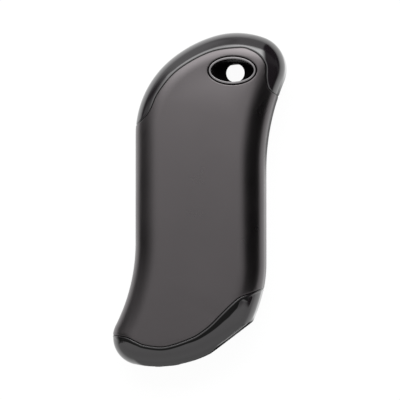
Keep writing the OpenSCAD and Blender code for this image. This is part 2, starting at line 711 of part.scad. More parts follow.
module charge_socket_tongue() color("#18181a") on_facet() translate([0, 0, micro_mid]) {
    pill_bar(micro_inside_w, micro_inside_h, micro_x[0] + socket_wall,
        micro_x[0] + socket_wall + micro_block);
    box([micro_x[0] + socket_wall + micro_block, micro_x[1] - 0.6],
        [-micro_tongue_half_w, micro_tongue_half_w], [-micro_tongue_t / 2, micro_tongue_t / 2]);
}

// Level lights and the clear guide that carries their light through the cap
led = [1.2, 1.6, 0.8];
guide_x = [-wall - 2.4, -wall - 0.8];
guide_led_gap = 0.3;
guide_h = 1.4;
guide_half_l = 1.5 * light_pitch + 0.9;
post_back = 0.25;
module level_lights() color("#f2e9c8") on_lights() for (i = [0:3])
    translate([guide_x[0] - guide_led_gap - led[0], light_y(i) - led[1] / 2, board_top]) cube(led);
module light_guide() color("#e6eef2") on_lights() translate([0, 0, light_z]) {
    box(guide_x, [-guide_half_l, guide_half_l], [-guide_h / 2, guide_h / 2]);
    for (i = [0:3]) translate([guide_x[1], light_y(i), 0]) rotate([0, 90, 0])
        cylinder(d = light_d, h = -guide_x[1] - post_back);
}

// Heat button, its switch and the switch's plunger
button_flange = 0.8;
button_flange_gap = 0.6;
button_flange_t = 0.9;
flange_x = [-wall - button_flange_gap - button_flange_t, -wall - button_flange_gap];
button_bay_gap = 0.6;
button_bay_half_l = button_l / 2 + button_flange + button_bay_gap;
button_bay_half_h = button_w / 2 + button_flange + button_bay_gap;
stem_d = 2;
stem_end = flange_x[0] - 1.2;
button_bay_x = stem_end - button_travel - frame_gap;
switch_l = 3.5;
switch_x = [button_bay_x - 0.3 - switch_l, button_bay_x - 0.3];
switch_half_w = 2.25;
switch_h = 2;
plunger_d = 1.6;
plunger_clear = 0.1;
plunger_z = board_top + switch_h / 2;
plunger_in = 1;
plunger_end = switch_x[1] - plunger_in;
module switch_housing() color("#2a2a2c") on_button() difference() {
    box(switch_x, [-switch_half_w, switch_half_w], [board_top, board_top + switch_h]);
    translate([plunger_end - button_travel - frame_gap, 0, plunger_z]) rotate([0, 90, 0])
        cylinder(d = plunger_d + 2 * plunger_clear, h = far);
}
module switch_plunger() color("#d9d2c0") on_button() translate([plunger_end, 0, plunger_z])
    rotate([0, 90, 0]) cylinder(d = plunger_d, h = stem_end - plunger_end);
module power_button() color("#262628") on_button() {
    translate([0, 0, button_z]) {
        intersection() {
            pill_bar(button_l, button_w, flange_x[0], 1);
            translate([-bottom_crown_r, 0, -far]) cylinder(r = bottom_crown_r, h = 2 * far, $fn = 360);
        }
        pill_bar(button_l + 2 * button_flange, button_w + 2 * button_flange, flange_x[0], flange_x[1]);
    }
    translate([stem_end, 0, plunger_z]) rotate([0, 90, 0]) cylinder(d = stem_d, h = flange_x[0] - stem_end);
}

// Screws with a cross recess
cross_l = 1.8;
cross_w = 0.4;
cross_depth = 0.5;
module screw(seat) {
    difference() {
        rod(screw_head_d, seat, seat + screw_head_h);
        for (a = [0, 90]) rotate(a) translate([-cross_l / 2, -cross_w / 2, seat + screw_head_h - cross_depth])
            cube([cross_l, cross_w, 1]);
    }
    rod(screw_d, seat - screw_l, seat);
}
module cap_screws() color("#8c8f92") for (b = concat(top_bosses, bottom_bosses)) translate(b[0])
    screw(ear_top);
module board_screws() color("#8c8f92") on_pack() for (p = board_posts) translate(p) screw(board_top);

placed() front_shell();
placed() back_shell();
placed() top_cap();
placed() bottom_cap();
placed() lanyard_eyelet();
placed() cell_frame();
placed() left_cell();
placed() right_cell();
placed() cell_insulator_rings();
placed() positive_strip();
placed() negative_strip();
placed() positive_lead();
placed() negative_lead();
placed() front_heater_film();
placed() back_heater_film();
placed() front_foam_pad();
placed() back_foam_pad();
placed() front_heater_leads();
placed() back_heater_leads();
placed() temperature_sensor();
placed() main_board();
placed() controller_chip();
placed() power_inductor();
placed() power_transistors();
placed() board_capacitors();
placed() output_socket_shell();
placed() output_socket_tongue();
placed() output_socket_contacts();
placed() charge_socket_shell();
placed() charge_socket_tongue();
placed() level_lights();
placed() light_guide();
placed() switch_housing();
placed() switch_plunger();
placed() power_button();
placed() cap_screws();
placed() board_screws();
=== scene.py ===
import json
import math

import bmesh
import bpy
import numpy as np
from bpy.props import FloatProperty, FloatVectorProperty, IntProperty, PointerProperty
from mathutils import Matrix, Vector
from mathutils.geometry import delaunay_2d_cdt


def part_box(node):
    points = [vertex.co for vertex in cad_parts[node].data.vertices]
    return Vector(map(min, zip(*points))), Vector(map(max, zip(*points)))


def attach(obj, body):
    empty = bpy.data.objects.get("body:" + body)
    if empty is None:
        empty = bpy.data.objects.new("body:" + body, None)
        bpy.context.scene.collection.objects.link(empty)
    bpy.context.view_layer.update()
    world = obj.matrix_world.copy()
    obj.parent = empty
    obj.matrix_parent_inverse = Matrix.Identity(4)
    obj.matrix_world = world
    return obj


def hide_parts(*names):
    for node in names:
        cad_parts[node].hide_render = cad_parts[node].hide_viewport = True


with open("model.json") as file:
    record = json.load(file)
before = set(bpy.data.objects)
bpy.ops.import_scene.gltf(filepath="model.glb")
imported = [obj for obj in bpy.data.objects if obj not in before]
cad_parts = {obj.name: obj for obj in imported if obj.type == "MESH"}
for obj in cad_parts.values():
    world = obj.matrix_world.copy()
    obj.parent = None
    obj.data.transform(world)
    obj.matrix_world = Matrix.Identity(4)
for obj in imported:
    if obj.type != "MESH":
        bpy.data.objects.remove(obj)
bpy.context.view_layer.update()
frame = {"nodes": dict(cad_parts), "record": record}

bl_info = {
    "name": "Rechargeable Hand Warmer",
    "version": (1, 0, 0),
    "blender": (4, 5, 0),
    "location": "View3D > Sidebar > Hand Warmer",
    "description": "Shells, end caps, eyelet, button, lights and screws of a pocket hand warmer",
    "category": "Object",
}

BODY_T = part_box("front_shell")[1].z
WARMER = "warmer"
BUTTON = "button"
MILLIMETRE = 0.001


# Objects, meshes and nodes

def linked(name, data):
    """A new object in the scene."""
    thing = bpy.data.objects.new(name, data)
    bpy.context.scene.collection.objects.link(thing)
    return thing


def new_mesh(name, points, faces=()):
    mesh = bpy.data.meshes.new(name)
    mesh.from_pydata([tuple(p) for p in points], [], faces)
    return mesh


def marked(mesh, name, values):
    """The mesh with a named value at each of its points."""
    mesh.attributes.new(name, "FLOAT", "POINT").data.foreach_set("value", values)
    return mesh


def wire(tree, node, inputs):
    """Gives the node's inputs their values. A socket, or a list of sockets, is linked."""
    for key, value in inputs.items():
        for item in value if isinstance(value, list) else [value]:
            if isinstance(item, bpy.types.NodeSocket):
                tree.links.new(item, node.inputs[key])
            else:
                node.inputs[key].default_value = item


def add_node(tree, kind, inputs=None, **settings):
    """The outputs of a new node."""
    node = tree.nodes.new(kind)
    for name, value in settings.items():
        setattr(node, name, value)
    wire(tree, node, inputs or {})
    return node.outputs


def tree_math(tree, operation, a, b):
    return add_node(tree, "ShaderNodeMath", {0: a, 1: b}, operation=operation)[0]


def new_tree(name, kind, inputs, outputs):
    """A node group with named sockets, the sockets that enter it, and the node that ends it."""
    tree = bpy.data.node_groups.new(name, kind)
    for way, sockets in (("INPUT", inputs), ("OUTPUT", outputs)):
        for socket, sort in sockets.items():
            tree.interface.new_socket(socket, in_out=way, socket_type="NodeSocket" + sort)
    return tree, add_node(tree, "NodeGroupInput"), tree.nodes.new("NodeGroupOutput")


# Outline of the body

# Angles at which each end's arcs meet
TOP_ANGLES = (180, 130, 106.5, 69, -23, 0)
BOTTOM_ANGLES = (180, 154, 126, 120, 78.6, -27, 0)
EYELET_FROM_CROWN = (-0.00642, -0.00152)
# Length in metres and turn in degrees that a step of the outline has at most
OUTLINE_STEP = 0.0012
MOST_TURN = 4


def unit(degrees):
    """Direction in the plan at an angle in degrees."""
    a = math.radians(degrees)
    return np.array([math.cos(a), math.sin(a)])


class LobeEnd:
    """One end of the body: arcs that meet smoothly, and a hollow one that closes the width."""

    def __init__(self, radii, angles, start, width, turned):
        n = len(radii)
        span = sum(radii[k] * (unit(angles[k + 1])[0] - unit(angles[k])[0]) for k in range(n))
        waist = (span - width) / (1 - unit(angles[n])[0])
        self.radii = list(radii) + [-waist]
        self.angles = angles
        self.turn = -1 if turned else 1
        self.centres = [np.array([radii[0] - width / 2, start])]
        for k in range(1, n + 1):
            step = (self.radii[k - 1] - self.radii[k]) * unit(angles[k])
            self.centres.append(self.centres[-1] + step)

    def arc_at(self, station):
        """Arc and angle at a station, which is the arc's number plus the share behind."""
        k = min(int(station), len(self.radii) - 1)
        return k, self.angles[k] + (self.angles[k + 1] - self.angles[k]) * (station - k)

    def rim(self, station, inset=0.0):
        k, angle = self.arc_at(station)
        return self.turn * (self.centres[k] + (self.radii[k] - inset) * unit(angle))

    def stations(self):
        """Stations that divide every arc into short lengths with little turn."""
        found = []
        for k, r in enumerate(self.radii):
            bend = abs(self.angles[k + 1] - self.angles[k])
            length = abs(r) * math.radians(bend)
            parts = max(math.ceil(length / OUTLINE_STEP), math.ceil(bend / MOST_TURN))
            found += [k + i / parts for i in range(parts)]
        return found + [len(self.radii)]


class Body:
    """The rounded body that the shells and the caps share, with its middle at the origin."""

    def __init__(self, sizes):
        self.width = sizes.body_width
        self.half_t = BODY_T / 2
        self.edge_r = sizes.edge_radius
        self.top = LobeEnd(sizes.top_radii, TOP_ANGLES, sizes.top_start, self.width, False)
        self.bottom = LobeEnd(
            sizes.bottom_radii, BOTTOM_ANGLES, sizes.bottom_start, self.width, True
        )
        self.eyelet = self.top.centres[3] + np.array(EYELET_FROM_CROWN)
        low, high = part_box("lanyard_eyelet")
        self.shift = np.array((low + high) / 2) - np.array([*self.eyelet, 0])

    def outline(self, inset):
        ends = (self.top, self.bottom)
        return np.array([end.rim(s, inset) for end in ends for s in end.stations()])

    def inset_at(self, points):
        """Distance inside the outline, and the outline's normal there, for each plan point."""
        best = np.full(len(points), np.inf)
        out = np.zeros((len(points), 2))
        for end in (self.top, self.bottom):
            for k, r in enumerate(end.radii):
                v = points * end.turn - end.centres[k]
                length = np.hypot(v[:, 0], v[:, 1])
                n = v / np.maximum(length, 1e-9)[:, None] * np.sign(r)
                angle = np.degrees(np.arctan2(n[:, 1], n[:, 0]))
                low = min(end.angles[k], end.angles[k + 1]) - 0.01
                high = max(end.angles[k], end.angles[k + 1]) + 0.01
                inside = ((angle - low) % 360) <= (high - low)
                inset = (abs(r) - length) * np.sign(r)
                hit = inside & (inset < best)
                best[hit] = inset[hit]
                out[hit] = n[hit] * end.turn
        for side, lower, upper in ((-1, len(self.bottom.radii), 0), (1, 0, len(self.top.radii))):
            low, high = self.bottom.rim(lower)[1], self.top.rim(upper)[1]
            inset = self.width / 2 - side * points[:, 0]
            hit = (points[:, 1] >= low) & (points[:, 1] <= high) & (inset < best)
            best[hit] = inset[hit]
            out[hit] = [side, 0]
        return best, out

    def surface(self, points):
        """Places and normals on the body's front half over plan points, with inset and lean."""
        inset, out = self.inset_at(points)
        lean = 1 - np.clip(inset / self.edge_r, 0, 1)
        rise = np.sqrt(1 - lean ** 2)
        z = self.half_t - self.edge_r + self.edge_r * rise
        normals = np.column_stack([out * lean[:, None], rise])
        return np.column_stack([points, z]), normals, inset, lean


# Seams between the shells and the caps

# Stations on an end's rim, and the seam's distance inside it in millimetres
TOP_SEAM = (
    (0.07, -1.5), (0.11, 0.2), (0.19, 2.97), (0.33, 4.66), (0.6, 4.94), (1.01, 5.2), (1.83, 5.5),
    (2.55, 5.6), (2.86, 5.8), (3.25, 6.45), (3.73, 5.97), (4.046, 4.82), (4.136, 3.16),
    (4.164, 1.9), (4.18, -0.1), (4.2, -1.5),
)
BOTTOM_SEAM = (
    (0.4, -1.5), (0.43, -0.2), (0.535, 2.82), (0.66, 5.95), (0.83, 7.85), (2.14, 8.85),
    (2.53, 7.95), (2.88, 7.42), (3.16, 7.22), (3.56, 6.8), (3.86, 7.36), (4.06, 8.08),
    (4.757, 6.09), (4.8, 3.28), (4.795, 0.2), (4.8, -1.5),
)
# Width of the bottom cap's fall behind its lip, in millimetres, at places across the body
FALL_WIDTHS = (
    (-0.029, 0.4), (-0.0278, 1.6), (-0.0268, 2.7), (-0.026, 1.3), (-0.0245, 1.2), (-0.02, 0.85),
    (-0.004, 0.85), (0.003, 1.5), (0.009, 2.3), (0.012, 2.0), (0.0136, 0.9), (0.0152, 0.6),
    (0.0161, 2.0), (0.017, 0.8), (0.019, 0.4),
)
FAR = 0.1


def smooth_curve(knots, steps):
    """Catmull-Rom curve through the knots."""
    last = len(knots) - 1
    curve = []
    for i in range(last):
        a, b, c, d = (knots[min(max(i + k, 0), last)] for k in (-1, 0, 1, 2))
        for j in range(steps):
            t = j / steps
            linear = t * (c - a)
            square = t * t * (2 * a - 5 * b + 4 * c - d)
            cube = t ** 3 * (3 * b - a - 3 * c + d)
            curve.append((2 * b + linear + square + cube) / 2)
    return np.array(curve + [knots[last]])


def moved_in(line, distance):
    """The line moved to its own right, which is into the body for a seam."""
    run = np.empty_like(line)
    run[1:-1] = line[2:] - line[:-2]
    run[0] = line[1] - line[0]
    run[-1] = line[-1] - line[-2]
    run /= np.hypot(run[:, 0], run[:, 1])[:, None]
    return line + distance * np.column_stack([run[:, 1], -run[:, 0]])


def beyond(line, end):
    """Closed region on the cap's side of a seam."""
    side = end.turn
    corners = [[side * FAR, line[-1][1]], [side * FAR, side * FAR], [-side * FAR, side * FAR]]
    return np.array([[-side * FAR, line[0][1]], *line, *corners])


def inside(polygon, points):
    """Which of the points lie in the polygon."""
    found = np.zeros(len(points), bool)
    x, y = points[:, 0], points[:, 1]
    for (x0, y0), (x1, y1) in zip(polygon, np.roll(polygon, -1, axis=0)):
        if y0 == y1:
            continue
        crosses = (y0 > y) != (y1 > y)
        found ^= crosses & (x < (x1 - x0) * (y - y0) / (y1 - y0) + x0)
    return found


def left_turn(a, b, c):
    """Positive where a triangle of plan points runs counterclockwise."""
    return (b - a)[..., 0] * (c - a)[..., 1] - (b - a)[..., 1] * (c - a)[..., 0]


def rolled(radius, turn):
    """How far a quarter round lies behind its edge at an angle."""
    return radius * (1 - math.cos(math.radians(turn)))


def chain(first, count, closed=True):
    """Pairs of neighbours along a line of points."""
    return [(first + i, first + (i + 1) % count) for i in range(count if closed else count - 1)]


def ring_faces(before, after):
    """Faces between two closed rings of as many points."""
    pairs = list(zip(before, after))
    return [[a, b, d, c] for (a, c), (b, d) in zip(pairs, pairs[1:] + pairs[:1])]


def distance_to(line, points, values):
    """Shortest distance from each point to an open line, and the line's value there."""
    best = np.full(len(points), np.inf)
    found = np.zeros(len(points))
    for k in range(len(line) - 1):
        run = line[k + 1] - line[k]
        t = np.clip(((points - line[k]) @ run) / (run @ run), 0, 1)
        gap = points - line[k] - t[:, None] * run
        distance = np.hypot(gap[:, 0], gap[:, 1])
        nearer = distance < best
        best[nearer] = distance[nearer]
        found[nearer] = ((1 - t) * values[k] + t * values[k + 1])[nearer]
    return best, found


ROLL_TURNS = tuple(range(0, 91, 15))
BEVEL_STEPS = (0.2, 0.4, 0.6, 0.8, 1.0)
FACET_STEPS = (0.0, 0.12, 0.25, 0.38, 0.52, 0.68, 0.84, 1.0)
FALL_STEPS = (0.0, 0.08, 0.2, 0.35, 0.5, 0.65, 0.8, 0.9, 1.0)
# Share of the fall that is lost where the surface stands upright
FALL_LOSS = 0.75
# Lean at which the painted shade has faded out, and the lean that it takes to fade
PAINTED_SHADE_END, PAINTED_SHADE_FADE = 0.85, 0.2


class Edge:
    """A free edge of a shell or cap: its line in the plan and how it rolls over."""

    def __init__(self, line, width, depth=None):
        self.line = line
        self.width = width
        self.depth = depth or width

    def offsets(self):
        """Distances from the edge at which the roll is divided."""
        return [rolled(self.width, a) for a in ROLL_TURNS]

    def lines(self, side):
        """Plan lines that divide the roll, on one side of the edge."""
        return [moved_in(self.line, side * offset) for offset in self.offsets()]

    def distance(self, points):
        return distance_to(self.line, points, np.zeros(len(self.line)))[0]

    def roll(self, distance):
        t = 1 - np.clip(distance / self.width, 0, 1)
        return self.depth * (1 - np.sqrt(1 - t ** 2))

    def drop(self, points, lean):
        """How far the edge lies below the surface at each plan point."""
        return self.roll(self.distance(points))

    def trim(self, points, lean):
        """Share of painted shade at each plan point."""
        return np.zeros(len(points))


class BevelEdge(Edge):
    """A rolled edge with a soft bevel behind it."""

    def __init__(self, line, width, bevel_width, bevel_depth):
        super().__init__(line, width)
        self.bevel_width = bevel_width
        self.bevel_depth = bevel_depth

    def offsets(self):
        return super().offsets() + [self.width + self.bevel_width * f for f in BEVEL_STEPS]

    def drop(self, points, lean):
        distance = self.distance(points)
        t = 1 - np.clip((distance - self.width) / self.bevel_width, 0, 1)
        return self.roll(distance) + self.bevel_depth * t ** 2


class FacetEdge(Edge):
    """A soft bevel that steepens towards the facet."""

    def offsets(self):
        return [self.width * f for f in FACET_STEPS]

    def drop(self, points, lean):
        t = 1 - np.clip(self.distance(points) / self.width, 0, 1)
        return self.depth * t ** 2 * np.sqrt(1 - lean ** 2)


class StepEdge(Edge):
    """A rolled lip before a fall of varying width, with painted shade on the fall: a near black
    band that stands in for the shade in the cove beside the shell.
    """

    def __init__(self, line, width, lip, fall_widths, fall):
        super().__init__(line, width)
        self.lip = lip
        self.fall_widths = fall_widths
        self.fall = fall

    def lines(self, side):
        falls = [self.lip + self.fall_widths[:, None] * f for f in FALL_STEPS]
        return super().lines(side) + [moved_in(self.line, side * fall) for fall in falls]

    def drop(self, points, lean):
        t = self.fall_share(points)
        fall = self.fall * (1 - FALL_LOSS * lean ** 2) * t * t * (3 - 2 * t)
        return self.roll(self.distance(points)) + fall

    def fall_share(self, points):
        distance, fall_width = distance_to(self.line, points, self.fall_widths)
        return np.clip((distance - self.lip) / fall_width, 0, 1)

    def trim(self, points, lean):
        # Painted shade on the fall, fading at both ends of the fall and where the side stands
        # upright
        t = self.fall_share(points)
        ends = np.clip(t / FALL_STEPS[1], 0, 1) * np.clip((1 - t) / (1 - FALL_STEPS[-2]), 0, 1)
        return ends * np.clip((PAINTED_SHADE_END - lean) / PAINTED_SHADE_FADE, 0, 1)


def ellipse(middle, size):
    """Closed plan line of an oval."""
    a = np.linspace(0, 2 * math.pi, 73)
    return middle + np.array(size) / 2 * np.column_stack([np.cos(a), np.sin(a)])


# Distance in millimetres below which two points of a plan are one
CLOSE = 1e-5
NO_INSET = 1e-6
NO_AREA = 1e-14


class Plan:
    """The body's plan with its seams and the eyelet's window, divided into triangles."""

    def __init__(self, body, sizes):
        self.body = body
        gap = sizes.seam_gap / 2
        self.seams = {}
        for name, knots in (("top", TOP_SEAM), ("bottom", BOTTOM_SEAM)):
            points = [getattr(body, name).rim(s, inset * MILLIMETRE) for s, inset in knots]
            self.seams[name] = smooth_curve(points, sizes.seam_steps)
        edge = moved_in(self.seams["bottom"], -gap)
        widths = np.interp(edge[:, 0], *zip(*FALL_WIDTHS)) * MILLIMETRE
        self.caps = {
            "top": BevelEdge(
                moved_in(self.seams["top"], -gap), sizes.top_cap_roll,
                sizes.top_bevel_width, sizes.top_bevel_depth,
            ),
            "bottom": StepEdge(
                edge, sizes.bottom_cap_roll, sizes.bottom_lip_width, widths, sizes.bottom_cap_fall
            ),
        }
        rolls = {"top": sizes.top_shell_roll, "bottom": sizes.bottom_shell_roll}
        self.shells = {
            name: Edge(moved_in(seam, gap), rolls[name]) for name, seam in self.seams.items()
        }
        groove = 2 * sizes.eyelet_groove
        self.window_size = np.array([sizes.eyelet_width + groove, sizes.eyelet_height + groove])
        self.window = Edge(ellipse(body.eyelet, self.window_size), sizes.window_roll)
        self.facet = Facet(body, sizes)
        self.divide()

    def divide(self):
        points, lines = [], []

        def add(line, closed):
            lines.extend(chain(len(points), len(line), closed))
            points.extend(Vector(p / MILLIMETRE) for p in line)

        for turn in range(0, 91, 5):
            add(self.body.outline(rolled(self.body.edge_r, turn)), True)
        for name in self.seams:
            for line in self.caps[name].lines(-1) + self.shells[name].lines(1):
                add(line, False)
        for offset in self.window.offsets():
            add(ellipse(self.body.eyelet, self.window_size + 2 * offset)[:-1], True)
        for offset in self.facet.edge.offsets():
            add(self.facet.edge.line - offset * self.facet.out, False)
        found = delaunay_2d_cdt(points, lines, [], 0, CLOSE)
        self.points = np.array([p[:] for p in found[0]]) * MILLIMETRE
        self.triangles = np.array(found[2])
        a, b, c = (self.points[self.triangles[:, k]] for k in range(3))
        turn = left_turn(a, b, c)
        self.triangles[turn < 0] = self.triangles[turn < 0][:, ::-1]
        self.middles = (a + b + c) / 3
        inset, _ = self.body.inset_at(self.middles)
        self.in_body = (inset > NO_INSET) & (abs(turn) > NO_AREA)

    def past(self, edges, name):
        """Which triangles lie on the cap's side of an edge."""
        return inside(beyond(edges[name].line, getattr(self.body, name)), self.middles)

    def shell_triangles(self):
        keep = self.in_body & ~self.past(self.shells, "top") & ~self.past(self.shells, "bottom")
        return self.triangles[keep & ~inside(self.window.line[:-1], self.middles)]

    def gap_triangles(self, name):
        """The open seam between the shells and one cap."""
        keep = self.past(self.shells, name) & ~self.past(self.caps, name)
        return self.triangles[self.in_body & keep]

    def cap_triangles(self, name):
        keep = self.in_body & self.past(self.caps, name)
        if name == "bottom":
            keep &= self.facet.before(self.middles) < 0
        return self.triangles[keep]


FACET_ANGLE = 127.4
FACET_FADE = 0.003
FACET_BESIDE = 0.00315
FACET_LINE = 0.03


class Facet:
    """The flat on the bottom cap that holds the two sockets."""

    def __init__(self, body, sizes):
        self.out = -unit(FACET_ANGLE)
        self.side = -unit(FACET_ANGLE + 90)
        corner = body.bottom.turn * body.bottom.centres[1]
        self.reach = corner @ self.out + body.bottom.radii[1] - sizes.facet_cut
        along = corner @ self.side - FACET_BESIDE
        self.middle = self.reach * self.out + along * self.side
        line = np.array([self.middle + way * FACET_LINE * self.side for way in (-1, 1)])
        self.edge = FacetEdge(line, sizes.facet_bevel_width, sizes.facet_bevel_depth)

    def place(self, y, z, depth=0.0):
        """A point of the facet: along it, up from the body's middle, and behind it."""
        x, y = self.middle - depth * self.out + y * self.side
        return np.array([x, y, z])

    def before(self, points):
        """How far plan points lie before the facet."""
        return points @ self.out - self.reach

    def nearness(self, points):
        """0 on the facet's line, rising to 1 at a short way into the body."""
        return np.clip(-self.before(points) / FACET_FADE, 0, 1)

    def flat(self, point):
        """Where a point of the body lies on the facet: along it, and up."""
        return np.array([(point[:2] - self.middle) @ self.side, point[2]])


ON_SIDE = 2e-5
COLUMN_ROWS = 7
COLUMN_SHARES = (0.3, 0.6)
# Share of the wall that a roll on the side may take away
MOST_DROP = 0.8


class Skin:
    """A wall that follows the rounded body: outer faces, inner faces and what closes them."""

    def __init__(self, plan, wall, sunk=0.0):
        self.plan = plan
        self.body = plan.body
        self.wall = wall
        self.sunk = sunk
        self.outer = []
        self.inner = []
        self.trim = []
        self.faces = []

    def point(self, outer, inner, trim=0.0):
        self.outer.append(outer)
        self.inner.append(inner)
        self.trim.append(trim)
        return len(self.outer) - 1

    def cover(self, triangles, edges, both_sides, low=0.0, parting_roll=0.0, facet=None):
        """Lays the wall over plan triangles, and down the side to a height above the middle."""
        used = np.unique(triangles)
        spot = self.plan.points[used]
        place, normal, inset, lean = self.body.surface(spot)
        on_side = inset < ON_SIDE
        place[on_side, 2] = self.body.half_t - self.body.edge_r
        drop = np.full(len(used), self.sunk)
        for edge in edges:
            drop = np.maximum(drop, edge.drop(spot, lean))
        if facet:
            drop *= facet.nearness(spot)
        fall = normal * drop[:, None]
        if facet:
            fall[:, 2] += facet.edge.drop(spot, lean)
        outer = place - fall
        inner = place - normal * self.wall
        # Share of painted shade at each point, which the first edge gives
        trim = edges[0].trim(spot, lean) if edges else np.zeros(len(used))
        front = {u: self.point(outer[i], inner[i], trim[i]) for i, u in enumerate(used)}
        self.faces += [[front[v] for v in t] for t in triangles]
        back = {}
        if both_sides:
            flip = np.array([1, 1, -1])
            back = {
                u: self.point(outer[i] * flip, inner[i] * flip, trim[i]) for i, u in enumerate(used)
            }
            self.faces += [[back[v] for v in t[::-1]] for t in triangles]
        rim = self.side_rim(triangles, set(used[on_side]))
        for vertex in sorted({v for pair in rim for v in pair}):
            i = np.searchsorted(used, vertex)
            out = np.array([*normal[i][:2], 0]) / np.hypot(*normal[i][:2])
            front[vertex] = self.column(
                front[vertex], back.get(vertex), place[i], out, drop[i], low, parting_roll, trim[i]
            )
        for a, b in rim:
            left, right = front[a], front[b]
            for k in range(len(left) - 1):
                self.faces.append([right[k], left[k], left[k + 1], right[k + 1]])

    def side_rim(self, triangles, on_side):
        """Directed edges of the triangles that run along the upright side."""
        used = {(a, b) for t in triangles for a, b in zip(t, np.roll(t, -1))}
        return [(a, b) for a, b in used if (b, a) not in used and a in on_side and b in on_side]

    def column(self, top, bottom, place, out, drop, low, parting_roll, trim):
        """Points down the upright side below one point, to the other half or the parting line."""
        high = self.body.half_t - self.body.edge_r
        if bottom is None:
            heights = [high * (1 - share) + low * share for share in COLUMN_SHARES]
            heights += [low + rolled(parting_roll, turn) for turn in ROLL_TURNS[::-1]]
        else:
            heights = np.linspace(high, -high, COLUMN_ROWS)[1:-1]
        points = [top]
        for z in heights:
            fall = 0.0
            if bottom is None:
                part = 1 - min((z - low) / parting_roll, 1)
                fall = parting_roll * (1 - math.sqrt(1 - part ** 2))
            foot = np.array([*place[:2], z])
            depth = min(math.hypot(drop, fall), self.wall * MOST_DROP)
            points.append(self.point(foot - out * depth, foot - out * self.wall, trim))
        return points if bottom is None else points + [bottom]

    def plate(self, facet, holes, roll, depth):
        """Closes the facet with a flat plate that has rolled holes."""
        loop = self.facet_loop(facet)
        rings = [hole(roll) for hole in holes]
        flat = [Vector(facet.flat(self.outer[v]) / MILLIMETRE) for v in loop]
        lines = chain(0, len(flat))
        index = list(loop)
        for hole, ring in zip(holes, rings):
            lines += chain(len(flat), len(ring))
            flat += [Vector(p) / MILLIMETRE for p in ring]
            before = [self.point(facet.place(*p), facet.place(*p, depth)) for p in ring]
            index += before
            for turn in ROLL_TURNS[-2::-1]:
                back = rolled(roll, 90 - turn)
                after = [
                    self.point(facet.place(*p, back), facet.place(*p, depth))
                    for p in hole(rolled(roll, turn))
                ]
                self.faces += ring_faces(before, after)
                before = after
        found = delaunay_2d_cdt(flat, lines, [], 0, CLOSE)
        points = np.array([p[:] for p in found[0]]) * MILLIMETRE
        outline = np.array([facet.flat(self.outer[v]) for v in loop])
        origin = [index[o[0]] if o else None for o in found[3]]
        for t in found[2]:
            middle = points[list(t)].mean(0)[None]
            in_hole = any(inside(np.array(ring), middle)[0] for ring in rings)
            if inside(outline, middle)[0] and not in_hole:
                left = left_turn(*points[list(t)]) > 0
                face = [origin[v] for v in t]
                self.faces.append(face if left else face[::-1])

    def facet_loop(self, facet):
        """The open rim of the wall at the facet, in order."""
        on_facet = {
            a: b for b, a in self.free_edges()
            if all(abs(facet.before(self.outer[v][:2])) < NO_INSET for v in (a, b))
        }
        loop = [next(iter(on_facet))]
        while on_facet[loop[-1]] != loop[0]:
            loop.append(on_facet[loop[-1]])
        return loop

    def free_edges(self):
        """Directed edges that only one outer face uses."""
        used = {
            (a, b): True for face in self.faces for a, b in zip(face, face[1:] + face[:1])
        }
        return [(a, b) for a, b in used if (b, a) not in used]

    def mesh(self, name, flip=False):
        """The closed wall as a mesh in the frame's place."""
        count = len(self.outer)
        faces = list(self.faces)
        faces += [[v + count for v in face[::-1]] for face in self.faces]
        faces += [[b, a, a + count, b + count] for a, b in self.free_edges()]
        points = np.array(self.outer + self.inner)
        if flip:
            points[:, 2] *= -1
            faces = [face[::-1] for face in faces]
        mesh = new_mesh(name, points + self.body.shift, faces)
        # Marks where shade is painted, on the outer and the inner points
        if any(self.trim):
            marked(mesh, "trim", self.trim * 2)
        mesh.validate()
        return mesh


# Round and oval parts

class Spot:
    """A place on the rim of one end: out of the body, along the rim, and up from the middle."""

    def __init__(self, body, end, station, height):
        k, angle = end.arc_at(station)
        self.out = end.turn * unit(angle)
        self.along = end.turn * unit(angle + 90)
        self.foot = end.rim(station)
        self.height = height
        self.radius = end.radii[k]
        self.shift = body.shift

    def place(self, x, y, z):
        spot = self.foot + x * self.out + y * self.along
        return Vector((*spot, self.height + z)) + Vector(self.shift)

    def ring(self, outline, x):
        return [self.place(x, y, z) for y, z in outline]

    def curved_ring(self, outline, x):
        """An outline that falls away beside the spot as the rim does."""
        falls = [math.sqrt(self.radius ** 2 - y ** 2) - self.radius for y, _ in outline]
        return [self.place(x + fall, y, z) for fall, (y, z) in zip(falls, outline)]


SHARP_ANGLE = 32


def shifted(outline, y, z):
    return [(a + y, b + z) for a, b in outline]


def pill(width, height, inset, steps=16):
    """Outline of a pill shape, counterclockwise."""
    reach = (width - height) / 2
    radius = height / 2 - inset
    points = []
    for middle, start in ((reach, -90), (-reach, 90)):
        for i in range(steps + 1):
            x, y = radius * unit(start + 180 * i / steps)
            points.append((middle + x, y))
    return points


def rounded_box(width, height, inset, corner, steps=4):
    """Outline of a box with round corners, counterclockwise."""
    radius = max(corner - inset, corner * 0.2)
    points = []
    reach = np.array([width, height]) / 2 - inset - radius
    for quarter, side in enumerate(((1, -1), (1, 1), (-1, 1), (-1, -1))):
        for i in range(steps + 1):
            turned = radius * unit(90 * quarter - 90 + 90 * i / steps)
            points.append(tuple(side * reach + turned))
    return points


def lofted(name, rings):
    """A closed mesh through rings of equally many points, with both ends filled."""
    count = len(rings[0])
    rows = [list(range(k * count, (k + 1) * count)) for k in range(len(rings))]
    faces = [rows[0][::-1], rows[-1]]
    for before, after in zip(rows, rows[1:]):
        faces += ring_faces(before, after)
    return outward(new_mesh(name, [p for ring in rings for p in ring], faces))


def joined(name, *meshes):
    """One mesh that holds several."""
    work = bmesh.new()
    for mesh in meshes:
        work.from_mesh(mesh)
    whole = bpy.data.meshes.new(name)
    work.to_mesh(whole)
    work.free()
    return whole


